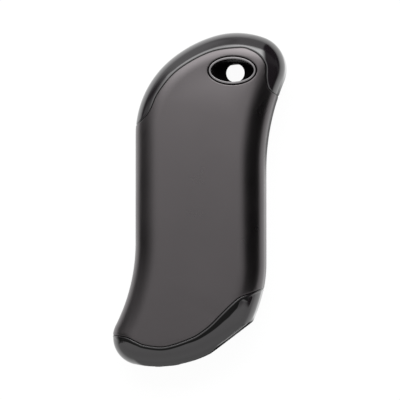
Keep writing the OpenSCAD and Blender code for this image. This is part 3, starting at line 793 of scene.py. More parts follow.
def outward(mesh):
    """The closed mesh with all faces turned outwards."""
    work = bmesh.new()
    work.from_mesh(mesh)
    bmesh.ops.recalc_face_normals(work, faces=work.faces)
    work.to_mesh(mesh)
    work.free()
    return mesh


def dress(mesh, slot):
    """Gives the mesh the finish of a material slot alone."""
    mesh.materials.clear()
    mesh.materials.append(slot_finish(slot))


def add_piece(name, mesh, body, slot, node):
    """Links a finished piece, lets it ride on its body and hides the node that it stands for."""
    piece = linked(name, mesh)
    mesh.shade_smooth()
    mesh.set_sharp_from_angle(angle=math.radians(SHARP_ANGLE))
    dress(mesh, slot)
    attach(piece, body)
    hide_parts(node)


def cut(mesh, cutters, name):
    """The mesh with the cutters taken out of it."""
    base = linked("base", mesh)
    others = [linked("cutter", cutter) for cutter in cutters]
    for other in others:
        modifier = base.modifiers.new("hole", "BOOLEAN")
        modifier.operation = "DIFFERENCE"
        modifier.solver = "EXACT"
        modifier.object = other
    result = baked(base, name)
    for other in others + [base]:
        bpy.data.objects.remove(other)
    return result


def baked(thing, name):
    """Mesh of an object with its modifiers applied."""
    found = thing.evaluated_get(bpy.context.evaluated_depsgraph_get())
    mesh = bpy.data.meshes.new_from_object(found)
    mesh.name = name
    return mesh


# Node trees for what repeats

ROUND_SIDES = 32


def tree_raised(tree, geometry, height):
    up = add_node(tree, "ShaderNodeCombineXYZ", {"Z": height})["Vector"]
    moved = {"Geometry": geometry, "Translation": up}
    return add_node(tree, "GeometryNodeTransform", moved)["Geometry"]


def tree_cylinder(tree, width, length, lift):
    """A cylinder whose middle is raised by a share of its length."""
    made = add_node(tree, "GeometryNodeMeshCylinder", {
        "Vertices": ROUND_SIDES, "Radius": tree_math(tree, "MULTIPLY", width, 0.5), "Depth": length,
    })
    return tree_raised(tree, made["Mesh"], tree_math(tree, "MULTIPLY", length, lift))


def copy_tree(name, sizes):
    """A tree for copies on points, with an input for each size."""
    inputs = {
        "Geometry": "Geometry", **dict.fromkeys(sizes, "Float"), "Turn": "Rotation",
        "Material": "Material",
    }
    return new_tree(name, "GeometryNodeTree", inputs, {"Geometry": "Geometry"})


def put_on_points(tree, enter, leave, parts):
    """Puts the joined parts on every point, and ends the tree."""
    copies = add_node(tree, "GeometryNodeInstanceOnPoints", {
        "Points": enter["Geometry"], "Rotation": enter["Turn"],
        "Instance": add_node(tree, "GeometryNodeJoinGeometry", {"Geometry": parts})["Geometry"],
    })
    real = add_node(tree, "GeometryNodeRealizeInstances", {"Geometry": copies["Instances"]})
    done = add_node(tree, "GeometryNodeSetMaterial", {
        "Geometry": real["Geometry"], "Material": enter["Material"],
    })
    wire(tree, leave, {"Geometry": done["Geometry"]})
    return tree


def screw_tree():
    """A screw with a cross recess at each point, with its seat on the point."""
    tree, size, leave = copy_tree("cross_screw", (
        "Head Width", "Head Height", "Shank Width", "Shank Length", "Recess Length", "Recess Width",
    ))
    high = size["Head Height"]
    bars = []
    for length, width in (("Recess Length", "Recess Width"), ("Recess Width", "Recess Length")):
        box = {"X": size[length], "Y": size[width], "Z": high}
        box = add_node(tree, "ShaderNodeCombineXYZ", box)["Vector"]
        bar = add_node(tree, "GeometryNodeMeshCube", {"Size": box})["Mesh"]
        bars.append(tree_raised(tree, bar, high))
    head = add_node(tree, "GeometryNodeMeshBoolean", {
        "Mesh 1": tree_cylinder(tree, size["Head Width"], high, 0.5), "Mesh 2": bars,
    }, operation="DIFFERENCE")
    shank = tree_cylinder(tree, size["Shank Width"], size["Shank Length"], -0.5)
    return put_on_points(tree, size, leave, [head["Mesh"], shank])


def post_tree():
    """A light post with a narrowed tip at each point."""
    tree, size, leave = copy_tree("light_post", ("Width", "Length", "Tip"))
    length = tree_math(tree, "SUBTRACT", size["Length"], size["Tip"])
    radius = tree_math(tree, "MULTIPLY", size["Width"], 0.5)
    tip = add_node(tree, "GeometryNodeMeshCone", {
        "Vertices": ROUND_SIDES, "Radius Bottom": radius, "Depth": size["Tip"],
        "Radius Top": tree_math(tree, "SUBTRACT", radius, size["Tip"]),
    })
    post = tree_cylinder(tree, size["Width"], length, 0.5)
    return put_on_points(tree, size, leave, [post, tree_raised(tree, tip["Mesh"], length)])


def on_points(name, points, tree, values):
    """Plain mesh of a tree's copies on the points."""
    holder = linked(name, new_mesh(name, points))
    modifier = holder.modifiers.new("copies", "NODES")
    modifier.node_group = tree
    for item in tree.interface.items_tree:
        if item.in_out == "INPUT" and item.name in values:
            modifier[item.identifier] = values[item.name]
    mesh = baked(holder, name)
    bpy.data.objects.remove(holder)
    return outward(mesh)


# Finishes

NOISE_LOW = 0.3


def grain_group():
    """Slow and fine unevenness of a surface, shared by the finishes."""
    found = bpy.data.node_groups.get("surface_grain")
    if found:
        return found
    inputs = dict.fromkeys(("Scale", "Fine Scale", "Low", "High"), "Float")
    outputs = dict.fromkeys(("Roughness", "Shade", "Height"), "Float")
    tree, enter, leave = new_tree(
        "surface_grain", "ShaderNodeTree", {**inputs, "Stretch": "Vector"}, outputs
    )
    place = add_node(tree, "ShaderNodeTexCoord")["Object"]
    slow = {"Vector": place, "Scale": enter["Scale"], "Detail": 4}
    slow = add_node(tree, "ShaderNodeTexNoise", slow)["Fac"]
    drawn = {0: place, 1: enter["Stretch"]}
    drawn = add_node(tree, "ShaderNodeVectorMath", drawn, operation="MULTIPLY")["Vector"]
    fine = {"Vector": drawn, "Scale": enter["Fine Scale"], "Detail": 2}
    spread = add_node(tree, "ShaderNodeMapRange", {
        "Value": slow, "From Min": NOISE_LOW, "From Max": 1 - NOISE_LOW, "To Min": enter["Low"],
        "To Max": enter["High"],
    })
    wire(tree, leave, {
        "Roughness": spread["Result"], "Shade": slow,
        "Height": add_node(tree, "ShaderNodeTexNoise", fine)["Fac"],
    })
    return tree


def new_finish(name, colour, roughness, spread=0.03, metallic=0.0, tint=0.85, scale=120, fine=3000,
               stretch=(1, 1, 1), bump=0.03, bump_depth=0.00002, dull=None, **plain):
    """A finish with uneven tone and roughness and a fine bump."""
    material = bpy.data.materials.new(name)
    material.use_nodes = True
    tree = material.node_tree
    surface = tree.nodes["Principled BSDF"]
    grain = add_node(tree, "ShaderNodeGroup", {
        "Scale": scale, "Fine Scale": fine, "Stretch": stretch, "Low": roughness - spread,
        "High": roughness + spread,
    }, node_tree=grain_group())
    tone = {"A": (*[c * tint for c in colour], 1), "B": (*colour, 1), "Factor": grain["Shade"]}
    relief = {"Strength": bump, "Distance": bump_depth, "Height": grain["Height"]}
    wire(tree, surface, {
        "Base Color": add_node(tree, "ShaderNodeMix", tone, data_type="RGBA")["Result"],
        "Roughness": grain["Roughness"], "Metallic": metallic,
        "Normal": add_node(tree, "ShaderNodeBump", relief)["Normal"],
        **{socket.replace("_", " "): value for socket, value in plain.items()},
    })
    if dull:
        add_shade_paint(tree, surface, *dull)
    return material


def add_shade_paint(tree, surface, colour, roughness, metallic):
    """Paints shade: the faces that the mesh's marks pick take a near black second finish that
    reflects little.
    """
    mask = add_node(tree, "ShaderNodeAttribute", attribute_name="trim")["Fac"]
    second = (("Base Color", (*getattr(colours(), colour), 1)), ("Roughness", roughness),
              ("Metallic", metallic))
    for name, value in second:
        socket = surface.inputs[name]
        first = socket.links[0].from_socket if socket.is_linked else socket.default_value
        kind = "RGBA" if name == "Base Color" else "FLOAT"
        mix = add_node(
            tree, "ShaderNodeMix", {"Factor": mask, "A": first, "B": value}, data_type=kind
        )
        wire(tree, surface, {name: mix["Result"]})


# Finish of each material slot: its name, its colour or which of the user's colours it has, its
# roughness, and what differs from a plain finish, with the colour, roughness and metal of its
# painted shade.
FINISHES = {
    "shell": ("satin_metal", "shell", 0.3, dict(
        metallic=1.0, tint=0.93, scale=60, fine=1800, stretch=(0.06, 1, 1), bump=0.2,
    )),
    # Marked faces of the caps take painted shade: near black metal that reflects little
    "cap": ("gloss_black", "cap", 0.07, dict(
        spread=0.015, tint=0.8, scale=80, fine=900, bump=0.01, IOR=2.0, dull=("trim", 0.35, 1.0),
    )),
    # The funnel inside the eyelet is painted shade: near black, and with the low specular level it
    # reflects almost nothing
    "eyelet": ("eyelet_black", "eyelet", 0.14, dict(
        spread=0.02, metallic=1.0, tint=0.8, scale=90, fine=1200, bump=0.01,
        Specular_IOR_Level=0.02, dull=("funnel", 0.6, 0.0),
    )),
    "button": ("button_black", "button", 0.32, dict(scale=150, fine=6000, bump=0.1)),
    "clear": ("clear_plastic", "clear", 0.12, dict(
        spread=0.04, tint=0.95, fine=2500, Transmission_Weight=0.85, IOR=1.49,
    )),
    "screw": ("screw_steel", "steel", 0.3, dict(metallic=1.0, scale=400, fine=5000, bump=0.05)),
    "frame": ("frame_plastic", (0.035, 0.035, 0.037), 0.5, {}),
    "cell": ("cell_sleeve", (0.03, 0.16, 0.36), 0.28, dict(scale=90)),
    "insulator": ("fish_paper", (0.62, 0.6, 0.46), 0.8, dict(scale=500)),
    "nickel": ("nickel", (0.62, 0.6, 0.55), 0.3, dict(metallic=1.0)),
    "red_wire": ("red_sleeve", (0.42, 0.02, 0.02), 0.45, {}),
    "black_wire": ("black_sleeve", (0.02, 0.02, 0.02), 0.45, {}),
    "white_wire": ("white_sleeve", (0.7, 0.69, 0.64), 0.5, {}),
    "heater_film": ("amber_film", (0.5, 0.2, 0.05), 0.25, dict(scale=200)),
    "foam": ("grey_foam", (0.22, 0.24, 0.21), 0.95, dict(fine=1500, bump=0.6, bump_depth=0.0002)),
    "board": ("green_board", (0.015, 0.11, 0.04), 0.35, dict(scale=600)),
    "chip": ("chip_black", (0.025, 0.025, 0.027), 0.55, {}),
    "ferrite": ("ferrite_grey", (0.08, 0.08, 0.085), 0.6, {}),
    "capacitor": ("ceramic_tan", (0.4, 0.27, 0.14), 0.4, {}),
    "socket_metal": ("plated_steel", (0.6, 0.61, 0.62), 0.22, dict(metallic=1.0)),
    "white_plastic": ("white_plastic", (0.75, 0.75, 0.72), 0.4, {}),
    "contact": ("gold_contact", (0.72, 0.5, 0.16), 0.25, dict(metallic=1.0)),
    "light": ("lamp_resin", (0.8, 0.76, 0.55), 0.3, dict(Transmission_Weight=0.3)),
}


def slot_finish(slot):
    name, colour, roughness, more = FINISHES[slot]
    if isinstance(colour, str):
        colour = getattr(colours(), colour)
    return bpy.data.materials.get(name) or new_finish(name, colour, roughness, **more)


# Sizes and colours that a user would change

def metres(name, about, value):
    return FloatProperty(name=name, description=about, default=value, unit="LENGTH", precision=5)


def shade(name, about, value):
    return FloatVectorProperty(
        name=name, description=about, default=value, size=3, min=0, max=1, subtype="COLOR"
    )


class HandWarmerSizes(bpy.types.PropertyGroup):
    body_width: metres("Body width", "Width across the two straight sides", 0.0442)
    edge_radius: metres("Edge radius", "Round edge between a face and the side", 0.009)
    wall: metres("Wall", "Wall of the shells and caps", 0.0015)
    seam_gap: metres("Seam gap", "Open seam between a shell and a cap", 0.0003)
    seam_depth: metres("Seam depth", "Depth of the seam above the caps' ledges", 0.00016)
    seam_steps: IntProperty(
        name="Seam steps", description="Steps between two knots of a seam", default=8
    )
    parting_gap: metres("Parting gap", "Open line between the two shells", 0.0002)
    parting_roll: metres("Parting roll", "Rolled edge of a shell at the parting line", 0.00015)
    top_radii: FloatVectorProperty(
        name="Top radii", description="Shoulder, slope, crown and tip of the upper lobe",
        default=(0.033, 0.042, 0.027, 0.0109), size=4, unit="LENGTH",
    )
    top_start: metres("Top start", "Height at which the left side starts to bend", 0.0224)
    bottom_radii: FloatVectorProperty(
        name="Bottom radii", description="Shoulder, corner, slope, crown and tip of the lower lobe",
        default=(0.046, 0.010, 0.115, 0.0381, 0.0094), size=5, unit="LENGTH",
    )
    bottom_start: metres("Bottom start", "Depth at which the right side starts to bend", 0.0214)
    top_cap_roll: metres("Top cap roll", "Rolled edge of the top cap", 0.00018)
    top_bevel_width: metres("Top bevel width", "Soft bevel beside the top seam", 0.0003)
    top_bevel_depth: metres("Top bevel depth", "Depth of the top seam's soft bevel", 0.00007)
    top_shell_roll: metres("Top shell roll", "Rolled edge of the shells above", 0.0002)
    bottom_cap_roll: metres("Bottom cap roll", "Rolled edge of the lip", 0.00015)
    bottom_lip_width: metres("Bottom lip width", "Lip of the bottom cap at the seam", 0.00034)
    bottom_cap_fall: metres("Bottom cap fall", "Depth of the cap below its lip", 0.0004)
    bottom_shell_roll: metres("Bottom shell roll", "Rolled edge of the shells below", 0.0003)
    facet_cut: metres("Facet cut", "Depth of the flat below the corner's arc", 0.00116)
    facet_wall: metres("Facet wall", "Wall of the bottom cap behind the flat", 0.0018)
    facet_bevel_width: metres("Facet bevel width", "Soft bevel round the flat", 0.00048)
    facet_bevel_depth: metres("Facet bevel depth", "Depth of the flat's soft bevel", 0.0014)
    port_roll: metres("Port roll", "Rolled edge of the socket holes", 0.00015)
    eyelet_width: metres("Eyelet width", "Width of the eyelet's rim", 0.016)
    eyelet_height: metres("Eyelet height", "Height of the eyelet's rim", 0.0092)
    eyelet_lip: metres("Eyelet lip", "Flat edge of the rim round the funnel", 0.00075)
    eyelet_bore: metres("Eyelet bore", "Bore of the eyelet", 0.0064)
    eyelet_funnel: metres("Eyelet funnel", "Depth of the funnel at each face", 0.0115)
    eyelet_groove: metres("Eyelet groove", "Groove between a shell and the eyelet", 0.0003)
    window_roll: metres("Window roll", "Rolled edge of a shell round the eyelet", 0.0004)


class HandWarmerColours(bpy.types.PropertyGroup):
    shell: shade("Shell", "Satin metal of the two half shells", (0.136, 0.1255, 0.129))
    cap: shade("Cap", "Gloss plastic of the two end caps", (0.0128, 0.0101, 0.0124))
    # Painted shade: near black on the bottom cap's fall and on the caps' ledges in the seams
    trim: shade("Trim", "Dull black behind the bottom cap's lip", (0.02, 0.02, 0.02))
    eyelet: shade("Eyelet", "Polished rim of the eyelet", (0.27, 0.26, 0.265))
    # Painted shade inside the eyelet's funnel: a near black that reflects almost nothing
    funnel: shade("Funnel", "Dull black inside the eyelet", (0.01, 0.009, 0.009))
    button: shade("Button", "Satin plastic of the heat button", (0.03, 0.03, 0.031))
    clear: shade("Clear", "Clear plastic of the light posts", (0.9, 0.93, 0.95))
    steel: shade("Steel", "Plated steel of the screws", (0.52, 0.53, 0.54))
    floor: shade("Floor", "Floor under the hand warmer", (0.9, 0.9, 0.9))


def sizes():
    return bpy.context.scene.hand_warmer_sizes


def colours():
    return bpy.context.scene.hand_warmer_colours


# Pieces

class HANDWARMER_OT_shells(bpy.types.Operator):
    """Builds the front and the back half shell"""
    bl_idname = "hand_warmer.shells"
    bl_label = "Half Shells"

    def execute(self, context):
        size = sizes()
        plan = Plan(Body(size), size)
        skin = Skin(plan, size.wall)
        edges = [plan.shells["top"], plan.shells["bottom"], plan.window]
        skin.cover(plan.shell_triangles(), edges, False, size.parting_gap / 2, size.parting_roll)
        for name, flip in (("front_shell", False), ("back_shell", True)):
            add_piece(name + "_wall", skin.mesh(name + "_wall", flip), WARMER, "shell", name)
        return {"FINISHED"}


# How much thinner a seam's ledge is than the wall
LEDGE_THINNER = 0.0003
OUTPUT_HOLE = (0.0134, 0.006)
OUTPUT_CORNER = 0.0003
OUTPUT_HEIGHT = -0.00285
CHARGE_HOLE = (0.0078, 0.003)
CHARGE_HEIGHT = 0.00235
# Places of the button and the lights on the bottom rim, and their heights above the middle
BUTTON_STATION = 3.6
BUTTON_HEIGHT = 0.0012
BUTTON_SIZE = (0.009, 0.0044)
BUTTON_CLEARANCE = 0.00015
LIGHT_STATION = 3.17
LIGHT_HEIGHT = 0.0014
LIGHT_WIDTH = 0.0014
LIGHT_PITCH = 0.0022
LIGHT_CLEARANCE = 0.00005
LIGHT_ROWS = [(i - 1.5) * LIGHT_PITCH for i in range(4)]


def output_hole(grow):
    return shifted(rounded_box(*OUTPUT_HOLE, -grow, OUTPUT_CORNER), 0, OUTPUT_HEIGHT)


def charge_hole(grow):
    return shifted(pill(*CHARGE_HOLE, -grow), 0, CHARGE_HEIGHT)


def hole_cutters(body):
    """Plugs with flared mouths for the button's hole and the light posts' holes."""
    def plug(name, spot, size, row, clearance, flare):
        steps = (
            (0.001, flare), (0.0, flare), (-flare * 0.3, flare * 0.3), (-flare, 0.0), (-0.003, 0.0)
        )
        return lofted(name, [
            spot.curved_ring(shifted(pill(*size, -clearance - grow), row, 0), x)
            for x, grow in steps
        ])

    button = Spot(body, body.bottom, BUTTON_STATION, BUTTON_HEIGHT)
    light = Spot(body, body.bottom, LIGHT_STATION, LIGHT_HEIGHT)
    plugs = [plug("button_plug", button, BUTTON_SIZE, 0.0, BUTTON_CLEARANCE, 0.0002)]
    for row in LIGHT_ROWS:
        plugs.append(plug("light_plug", light, [LIGHT_WIDTH] * 2, row, LIGHT_CLEARANCE, 0.0001))
    return plugs


class HANDWARMER_OT_caps(bpy.types.Operator):
    """Builds the top cap, and the bottom cap with its facet and holes"""
    bl_idname = "hand_warmer.caps"
    bl_label = "End Caps"

    def execute(self, context):
        size = sizes()
        body = Body(size)
        plan = Plan(body, size)
        top = Skin(plan, size.wall)
        top.cover(plan.cap_triangles("top"), [plan.caps["top"]], True)
        mesh = joined("top_cap_wall", top.mesh("top_wall"), self.rabbet(plan, "top", size))
        add_piece("top_cap_wall", mesh, WARMER, "cap", "top_cap")
        bottom = Skin(plan, size.wall)
        bottom.cover(plan.cap_triangles("bottom"), [plan.caps["bottom"]], True, facet=plan.facet)
        bottom.plate(plan.facet, (output_hole, charge_hole), size.port_roll, size.facet_wall)
        mesh = cut(bottom.mesh("closed_cap"), hole_cutters(body), "bottom_wall")
        mesh = joined("bottom_cap_wall", mesh, self.rabbet(plan, "bottom", size))
        add_piece("bottom_cap_wall", mesh, WARMER, "cap", "bottom_cap")
        return {"FINISHED"}

    def rabbet(self, plan, name, size):
        """The cap's thin ledge that closes the seam below its surface."""
        skin = Skin(plan, size.wall - LEDGE_THINNER, size.seam_depth)
        skin.cover(plan.gap_triangles(name), [], True)
        # The whole ledge is painted shade, so that the seam's gap reads dark
        skin.trim = [1.0] * len(skin.trim)
        return skin.mesh(name + "_rabbet")


SPOOL_STEPS = 96
SPOOL_LIP = 0.0002
SPOOL_NECK = 0.0003
MOUTH_EDGE = 0.00015
SPOOL_MARGIN = 0.0001
FUNNEL_TURNS = range(6, 91, 4)
# Flange behind a shell: how far it stands out, and its depths below the rim
FLANGE = (0.0005, 0.0032, 0.0018)


class HANDWARMER_OT_eyelet(bpy.types.Operator):
    """Builds the lanyard eyelet with its oval rims, funnels and bore"""
    bl_idname = "hand_warmer.eyelet"
    bl_label = "Lanyard Eyelet"

    def execute(self, context):
        size = sizes()
        body = Body(size)
        top = body.half_t
        half = np.array([size.eyelet_width, size.eyelet_height]) / 2
        mouth = half - size.eyelet_lip
        neck = np.full(2, size.eyelet_bore / 2) + SPOOL_NECK
        wide, low, high = half + FLANGE[0], top - FLANGE[1], top - FLANGE[2]
        profile = [(half, 0.0), (half, low), (wide, low), (wide, high), (half, high)]
        profile += self.roll(half - SPOOL_LIP, top, 1)
        profile += self.roll(mouth + SPOOL_LIP, top, -1)[::-1]
        profile.append((mouth, top - SPOOL_LIP - MOUTH_EDGE))
        for turn in FUNNEL_TURNS:
            reach, depth = unit(turn)
            profile.append((neck + (mouth - neck) * reach, top - size.eyelet_funnel * depth))
        foot = top - size.eyelet_funnel
        profile += [(neck - SPOOL_LIP, foot), (neck - SPOOL_NECK, foot - SPOOL_MARGIN)]
        rows = profile + [(p, -z) for p, z in profile[:0:-1]]
        # Below the lip the funnel is painted shade
        funnel = top - SPOOL_LIP - SPOOL_MARGIN
        dull = [float(abs(z) < funnel) for _, z in rows for _ in range(SPOOL_STEPS)]
        mesh = marked(self.spool(body, rows), "trim", dull)
        add_piece("eyelet_spool", mesh, WARMER, "eyelet", "lanyard_eyelet")
        return {"FINISHED"}

    def roll(self, middle, top, way):
        """Quarter round from the upright side onto the flat lip, or back."""
        turned = [SPOOL_LIP * unit(a) for a in ROLL_TURNS]
        return [(middle + way * x, top - SPOOL_LIP + y) for x, y in turned]

    def spool(self, body, rows):
        turns = [unit(360 * i / SPOOL_STEPS) for i in range(SPOOL_STEPS)]
        points = [
            np.array([*body.eyelet + half * turn, z]) + body.shift
            for half, z in rows for turn in turns
        ]
        rings = np.arange(len(points)).reshape(len(rows), -1).tolist()
        faces = []
        for before, after in zip(rings, rings[1:] + rings[:1]):
            faces += ring_faces(before, after)
        return outward(new_mesh("eyelet_spool", points, faces))


BUTTON_ROLL = 0.0004
BUTTON_DEPTH = 0.0021
BUTTON_FLANGE = 0.0008
FLANGE_DEPTH = 0.003
STEM_WIDTH = 0.002
STEM_DEPTH = 0.0042
STEM_HEIGHT = 0.002


class HANDWARMER_OT_button(bpy.types.Operator):
    """Builds the heat button with its flange and stem"""
    bl_idname = "hand_warmer.button"
    bl_label = "Heat Button"

    def execute(self, context):
        body = Body(sizes())
        spot = Spot(body, body.bottom, BUTTON_STATION, BUTTON_HEIGHT)
        rows = [(BUTTON_SIZE[1] * share, 0.0) for share in (0.498, 0.4, 0.3, 0.2)]
        turned = [BUTTON_ROLL * unit(a) for a in ROLL_TURNS]
        rows += [(BUTTON_ROLL - y, x - BUTTON_ROLL) for x, y in turned]
        rings = [spot.curved_ring(pill(*BUTTON_SIZE, inset), x) for inset, x in rows]
        body_pill, flange_pill = (pill(*BUTTON_SIZE, -grow) for grow in (0, BUTTON_FLANGE))
        stem = shifted(pill(STEM_WIDTH, STEM_WIDTH, 0), 0, STEM_HEIGHT - BUTTON_HEIGHT)
        for depth, ring in ((BUTTON_DEPTH, body_pill), (BUTTON_DEPTH, flange_pill),
                            (FLANGE_DEPTH, flange_pill), (FLANGE_DEPTH, stem), (STEM_DEPTH, stem)):
            rings.append(spot.ring(ring, -depth))
        add_piece("heat_button", lofted("heat_button", rings), BUTTON, "button", "power_button")
        return {"FINISHED"}


POST_ROOT = 0.0023
POST_SUNK = 0.00025
BAR_THICKNESS = 0.0016
BAR_SIZE = (0.0084, 0.0014)
BAR_CORNER = 0.0003
LIGHT_EDGE = 0.00015


class HANDWARMER_OT_lights(bpy.types.Operator):
    """Builds the clear bar and its four posts that show the charge level"""
    bl_idname = "hand_warmer.lights"
    bl_label = "Level Lights"

    def execute(self, context):
        body = Body(sizes())
        spot = Spot(body, body.bottom, LIGHT_STATION, LIGHT_HEIGHT)
        turn = Vector((*spot.out, 0)).to_track_quat("Z", "Y").to_euler()
        roots = [spot.place(-POST_ROOT, row, 0) for row in LIGHT_ROWS]
        posts = on_points("light_posts", roots, post_tree(), {
            "Width": LIGHT_WIDTH, "Length": POST_ROOT - POST_SUNK, "Tip": LIGHT_EDGE, "Turn": turn,
            "Material": slot_finish("clear"),
        })
        back, front = -POST_ROOT - BAR_THICKNESS, -POST_ROOT
        steps = ((back, LIGHT_EDGE), (back + LIGHT_EDGE, 0), (front - LIGHT_EDGE, 0),
                 (front, LIGHT_EDGE))
        bar = [spot.ring(rounded_box(*BAR_SIZE, inset, BAR_CORNER), x) for x, inset in steps]
        mesh = joined("light_bar_and_posts", posts, lofted("light_bar", bar))
        add_piece("light_bar_and_posts", mesh, WARMER, "clear", "light_guide")
        return {"FINISHED"}


SCREW_SIZES = {
    "Head Width": 0.0036, "Head Height": 0.0009, "Shank Width": 0.002, "Shank Length": 0.004,
    "Recess Length": 0.0018, "Recess Width": 0.0004,
}
SAME_SCREW = 0.004


class HANDWARMER_OT_screws(bpy.types.Operator):
    """Builds the screws of the caps and of the board"""
    bl_idname = "hand_warmer.screws"
    bl_label = "Screws"

    def execute(self, context):
        tree = screw_tree()
        for node in ("cap_screws", "board_screws"):
            seats = screw_seats(frame["nodes"][node])
            mesh = on_points(node + "_fine", seats, tree, {
                **SCREW_SIZES, "Material": slot_finish("screw"),
            })
            add_piece(node + "_fine", mesh, WARMER, "screw", node)
        return {"FINISHED"}


def screw_seats(node):
    """Middle of each screw at the underside of its head, read from the frame."""
    points = np.array([v.co for v in node.data.vertices])
    top = points[:, 2].max()
    heads = points[points[:, 2] > top - 1e-5]
    seats = []
    while len(heads):
        near = np.hypot(*(heads[:, :2] - heads[0, :2]).T) < SAME_SCREW
        x, y, _ = (heads[near].min(0) + heads[near].max(0)) / 2
        seats.append((x, y, top - SCREW_SIZES["Head Height"]))
        heads = heads[~near]
    return seats


class HANDWARMER_OT_inner_finishes(bpy.types.Operator):
    """Gives the inner parts of the frame their finishes"""
    bl_idname = "hand_warmer.inner_finishes"
    bl_label = "Inner Finishes"

    def execute(self, context):
        for part in frame["record"]["subparts"]:
            dress(frame["nodes"][part["node"]].data, part["material_slot"])
        return {"FINISHED"}


# Floor, light and camera

TARGET = Vector((0.0, 0.0, 0.0125))
CAMERA_DISTANCE = 0.95
CAMERA_RIGHT = 5.7
CAMERA_DOWN = 1.7
CAMERA_LENS = 250.0
CAMERA_NEAR = 0.01
AMBIENT = 0.45
SHADOW_SHARE = 0.07
FLOOR_GLOW = 1.03
FLOOR_REACH = 1.5
FLOOR_HEIGHT = -0.0001
LAMP_PLACE = (0, 0.55, 0.9)
LAMP_SIZE = (0.9, 0.5)
LAMP_POWER = 9.0
WHITE = (1, 1, 1, 1)


def camera():
    data = bpy.data.cameras.new("camera")
    thing = linked("camera", data)
    x, y = math.sin(math.radians(CAMERA_RIGHT)), -math.sin(math.radians(CAMERA_DOWN))
    away = Vector((x, y, math.sqrt(1 - x ** 2 - y ** 2)))
    across = Vector((0, 1, 0)).cross(away).normalized()
    turn = Matrix((across, away.cross(across), away)).transposed()
    place = TARGET + CAMERA_DISTANCE * away
    thing.matrix_world = Matrix.Translation(place) @ turn.to_4x4()
    data.lens = CAMERA_LENS
    data.clip_start = CAMERA_NEAR
    bpy.context.scene.camera = thing


def seen_directly(tree):
    """1 for rays that show the backdrop itself: camera, glossy and transmission rays."""
    path = add_node(tree, "ShaderNodeLightPath")
    seen = path["Is Camera Ray"]
    for ray in ("Is Glossy Ray", "Is Transmission Ray"):
        seen = tree_math(tree, "MAXIMUM", seen, path[ray])
    return seen


def mixed(tree, share, first, second):
    return add_node(tree, "ShaderNodeMixShader", {0: share, 1: first, 2: second})["Shader"]


def bare_material(name):
    """A material without a surface, its node tree, and the node that takes the surface."""
    material = bpy.data.materials.new(name)
    material.use_nodes = True
    tree = material.node_tree
    tree.nodes.remove(tree.nodes["Principled BSDF"])
    return material, tree, tree.nodes["Material Output"]


def floor():
    """Pale floor that holds a faint shadow. From below it is clear, so that the back shows."""
    plan = FLOOR_REACH * np.array([(-1, -1), (1, -1), (1, 1), (-1, 1)])
    corners = [(x, y, FLOOR_HEIGHT) for x, y in plan]
    thing = linked("floor", new_mesh("floor", corners, [[0, 1, 2, 3]]))
    material, tree, end = bare_material("pale_floor")
    matt = add_node(tree, "ShaderNodeBsdfDiffuse", {"Color": (*colours().floor, 1)})["BSDF"]
    glow = add_node(tree, "ShaderNodeEmission", {"Strength": FLOOR_GLOW})["Emission"]
    share = tree_math(tree, "MULTIPLY", seen_directly(tree), 1 - SHADOW_SHARE)
    below = add_node(tree, "ShaderNodeNewGeometry")["Backfacing"]
    clear = add_node(tree, "ShaderNodeBsdfTransparent")["BSDF"]
    wire(tree, end, {"Surface": mixed(tree, below, mixed(tree, share, matt, glow), clear)})
    thing.data.materials.append(material)


def surround():
    """World: plain light on the object, and a white backdrop where it is seen directly."""
    world = bpy.data.worlds.new("studio")
    world.use_nodes = True
    bpy.context.scene.world = world
    tree = world.node_tree
    plain = tree.nodes["Background"]
    wire(tree, plain, {"Color": WHITE, "Strength": AMBIENT})
    white = add_node(tree, "ShaderNodeBackground", {"Color": WHITE})["Background"]
    both = mixed(tree, seen_directly(tree), plain.outputs["Background"], white)
    wire(tree, tree.nodes["World Output"], {"Surface": both})


def smooth_step(value, start, end):
    t = np.clip((value - start) / (end - start), 0, 1)
    return t * t * (3 - 2 * t)


def smooth_fall(value, start, end):
    """1 up to the start, falling to 0 at the end."""
    return smooth_step(-value, -end, -start)


# Brightness of the light tent along the body: where, and how bright
TENT_ALONG = (
    (-0.6, 0.51), (-0.2, 0.58), (-0.06, 0.6), (0.0, 0.7), (0.05, 0.93), (0.11, 1.25), (0.18, 2.35),
    (0.26, 3.1), (0.48, 2.7), (0.56, 1.4), (0.66, 0.38), (1.5, 0.33),
)
# Brightness of the dark card at the left: distance to the left, and the share of light left
LEFT_CARD = (
    (0.1, 1), (0.15, 0.85), (0.21, 0.64), (0.29, 0.4), (0.4, 0.27), (0.6, 0.16), (1.0, 0.1),
)
DARK_RIGHT = 0.02
# How much brighter the tent is at its upper right and at its far upper left
UPPER_RIGHT_GAIN, UPPER_LEFT_GAIN = 0.35, 0.7
# Share of the left card that is lost above
UPPER_LEFT_LOSS = 1.1
# How the cards' lower borders rise to the sides, and the right one's further out
CARD_RISE, FAR_CARD_RISE, FAR_CARD = 0.27, 0.15, 0.45
# How the right card's inner border leans below and above a height
RIGHT_LEAN, UPPER_RIGHT_LEAN, LEAN_HEIGHT = 1.2, -0.4, 0.03
TENT_REACH = 1.5
TENT_HEIGHT = 0.3
TENT_FLOOR = 0.0002
TENT_SQUARENESS = 6
TENT_GRID = 281
# How much finer the sheets are divided at their middle
TENT_CROWDING = 4.5
# Brightness of the floor beside the bottom edge: distance from the body, and how bright
DIM_FLOOR = ((0.003, 0.02), (0.009, 0.21), (0.02, 0.3), (0.03, 0.36), (0.086, 0.47), (0.3, 0.51))
# The dim floor's two sides: a place, and the way in from it
DIM_SIDES = (((-0.022, -0.056), (0.94, -0.35)), ((0.0172, -0.0395), (-0.66, -0.75)))
WHITE_RIGHT, WHITE_LEFT, WHITE_TOP = 0.9, 1.05, 0.25
# Light that the floor loses beside the hollow right side
HOLLOW_LOSS = 0.8
# Light of the strip before the flat
STRIP_LIGHT = 1.3


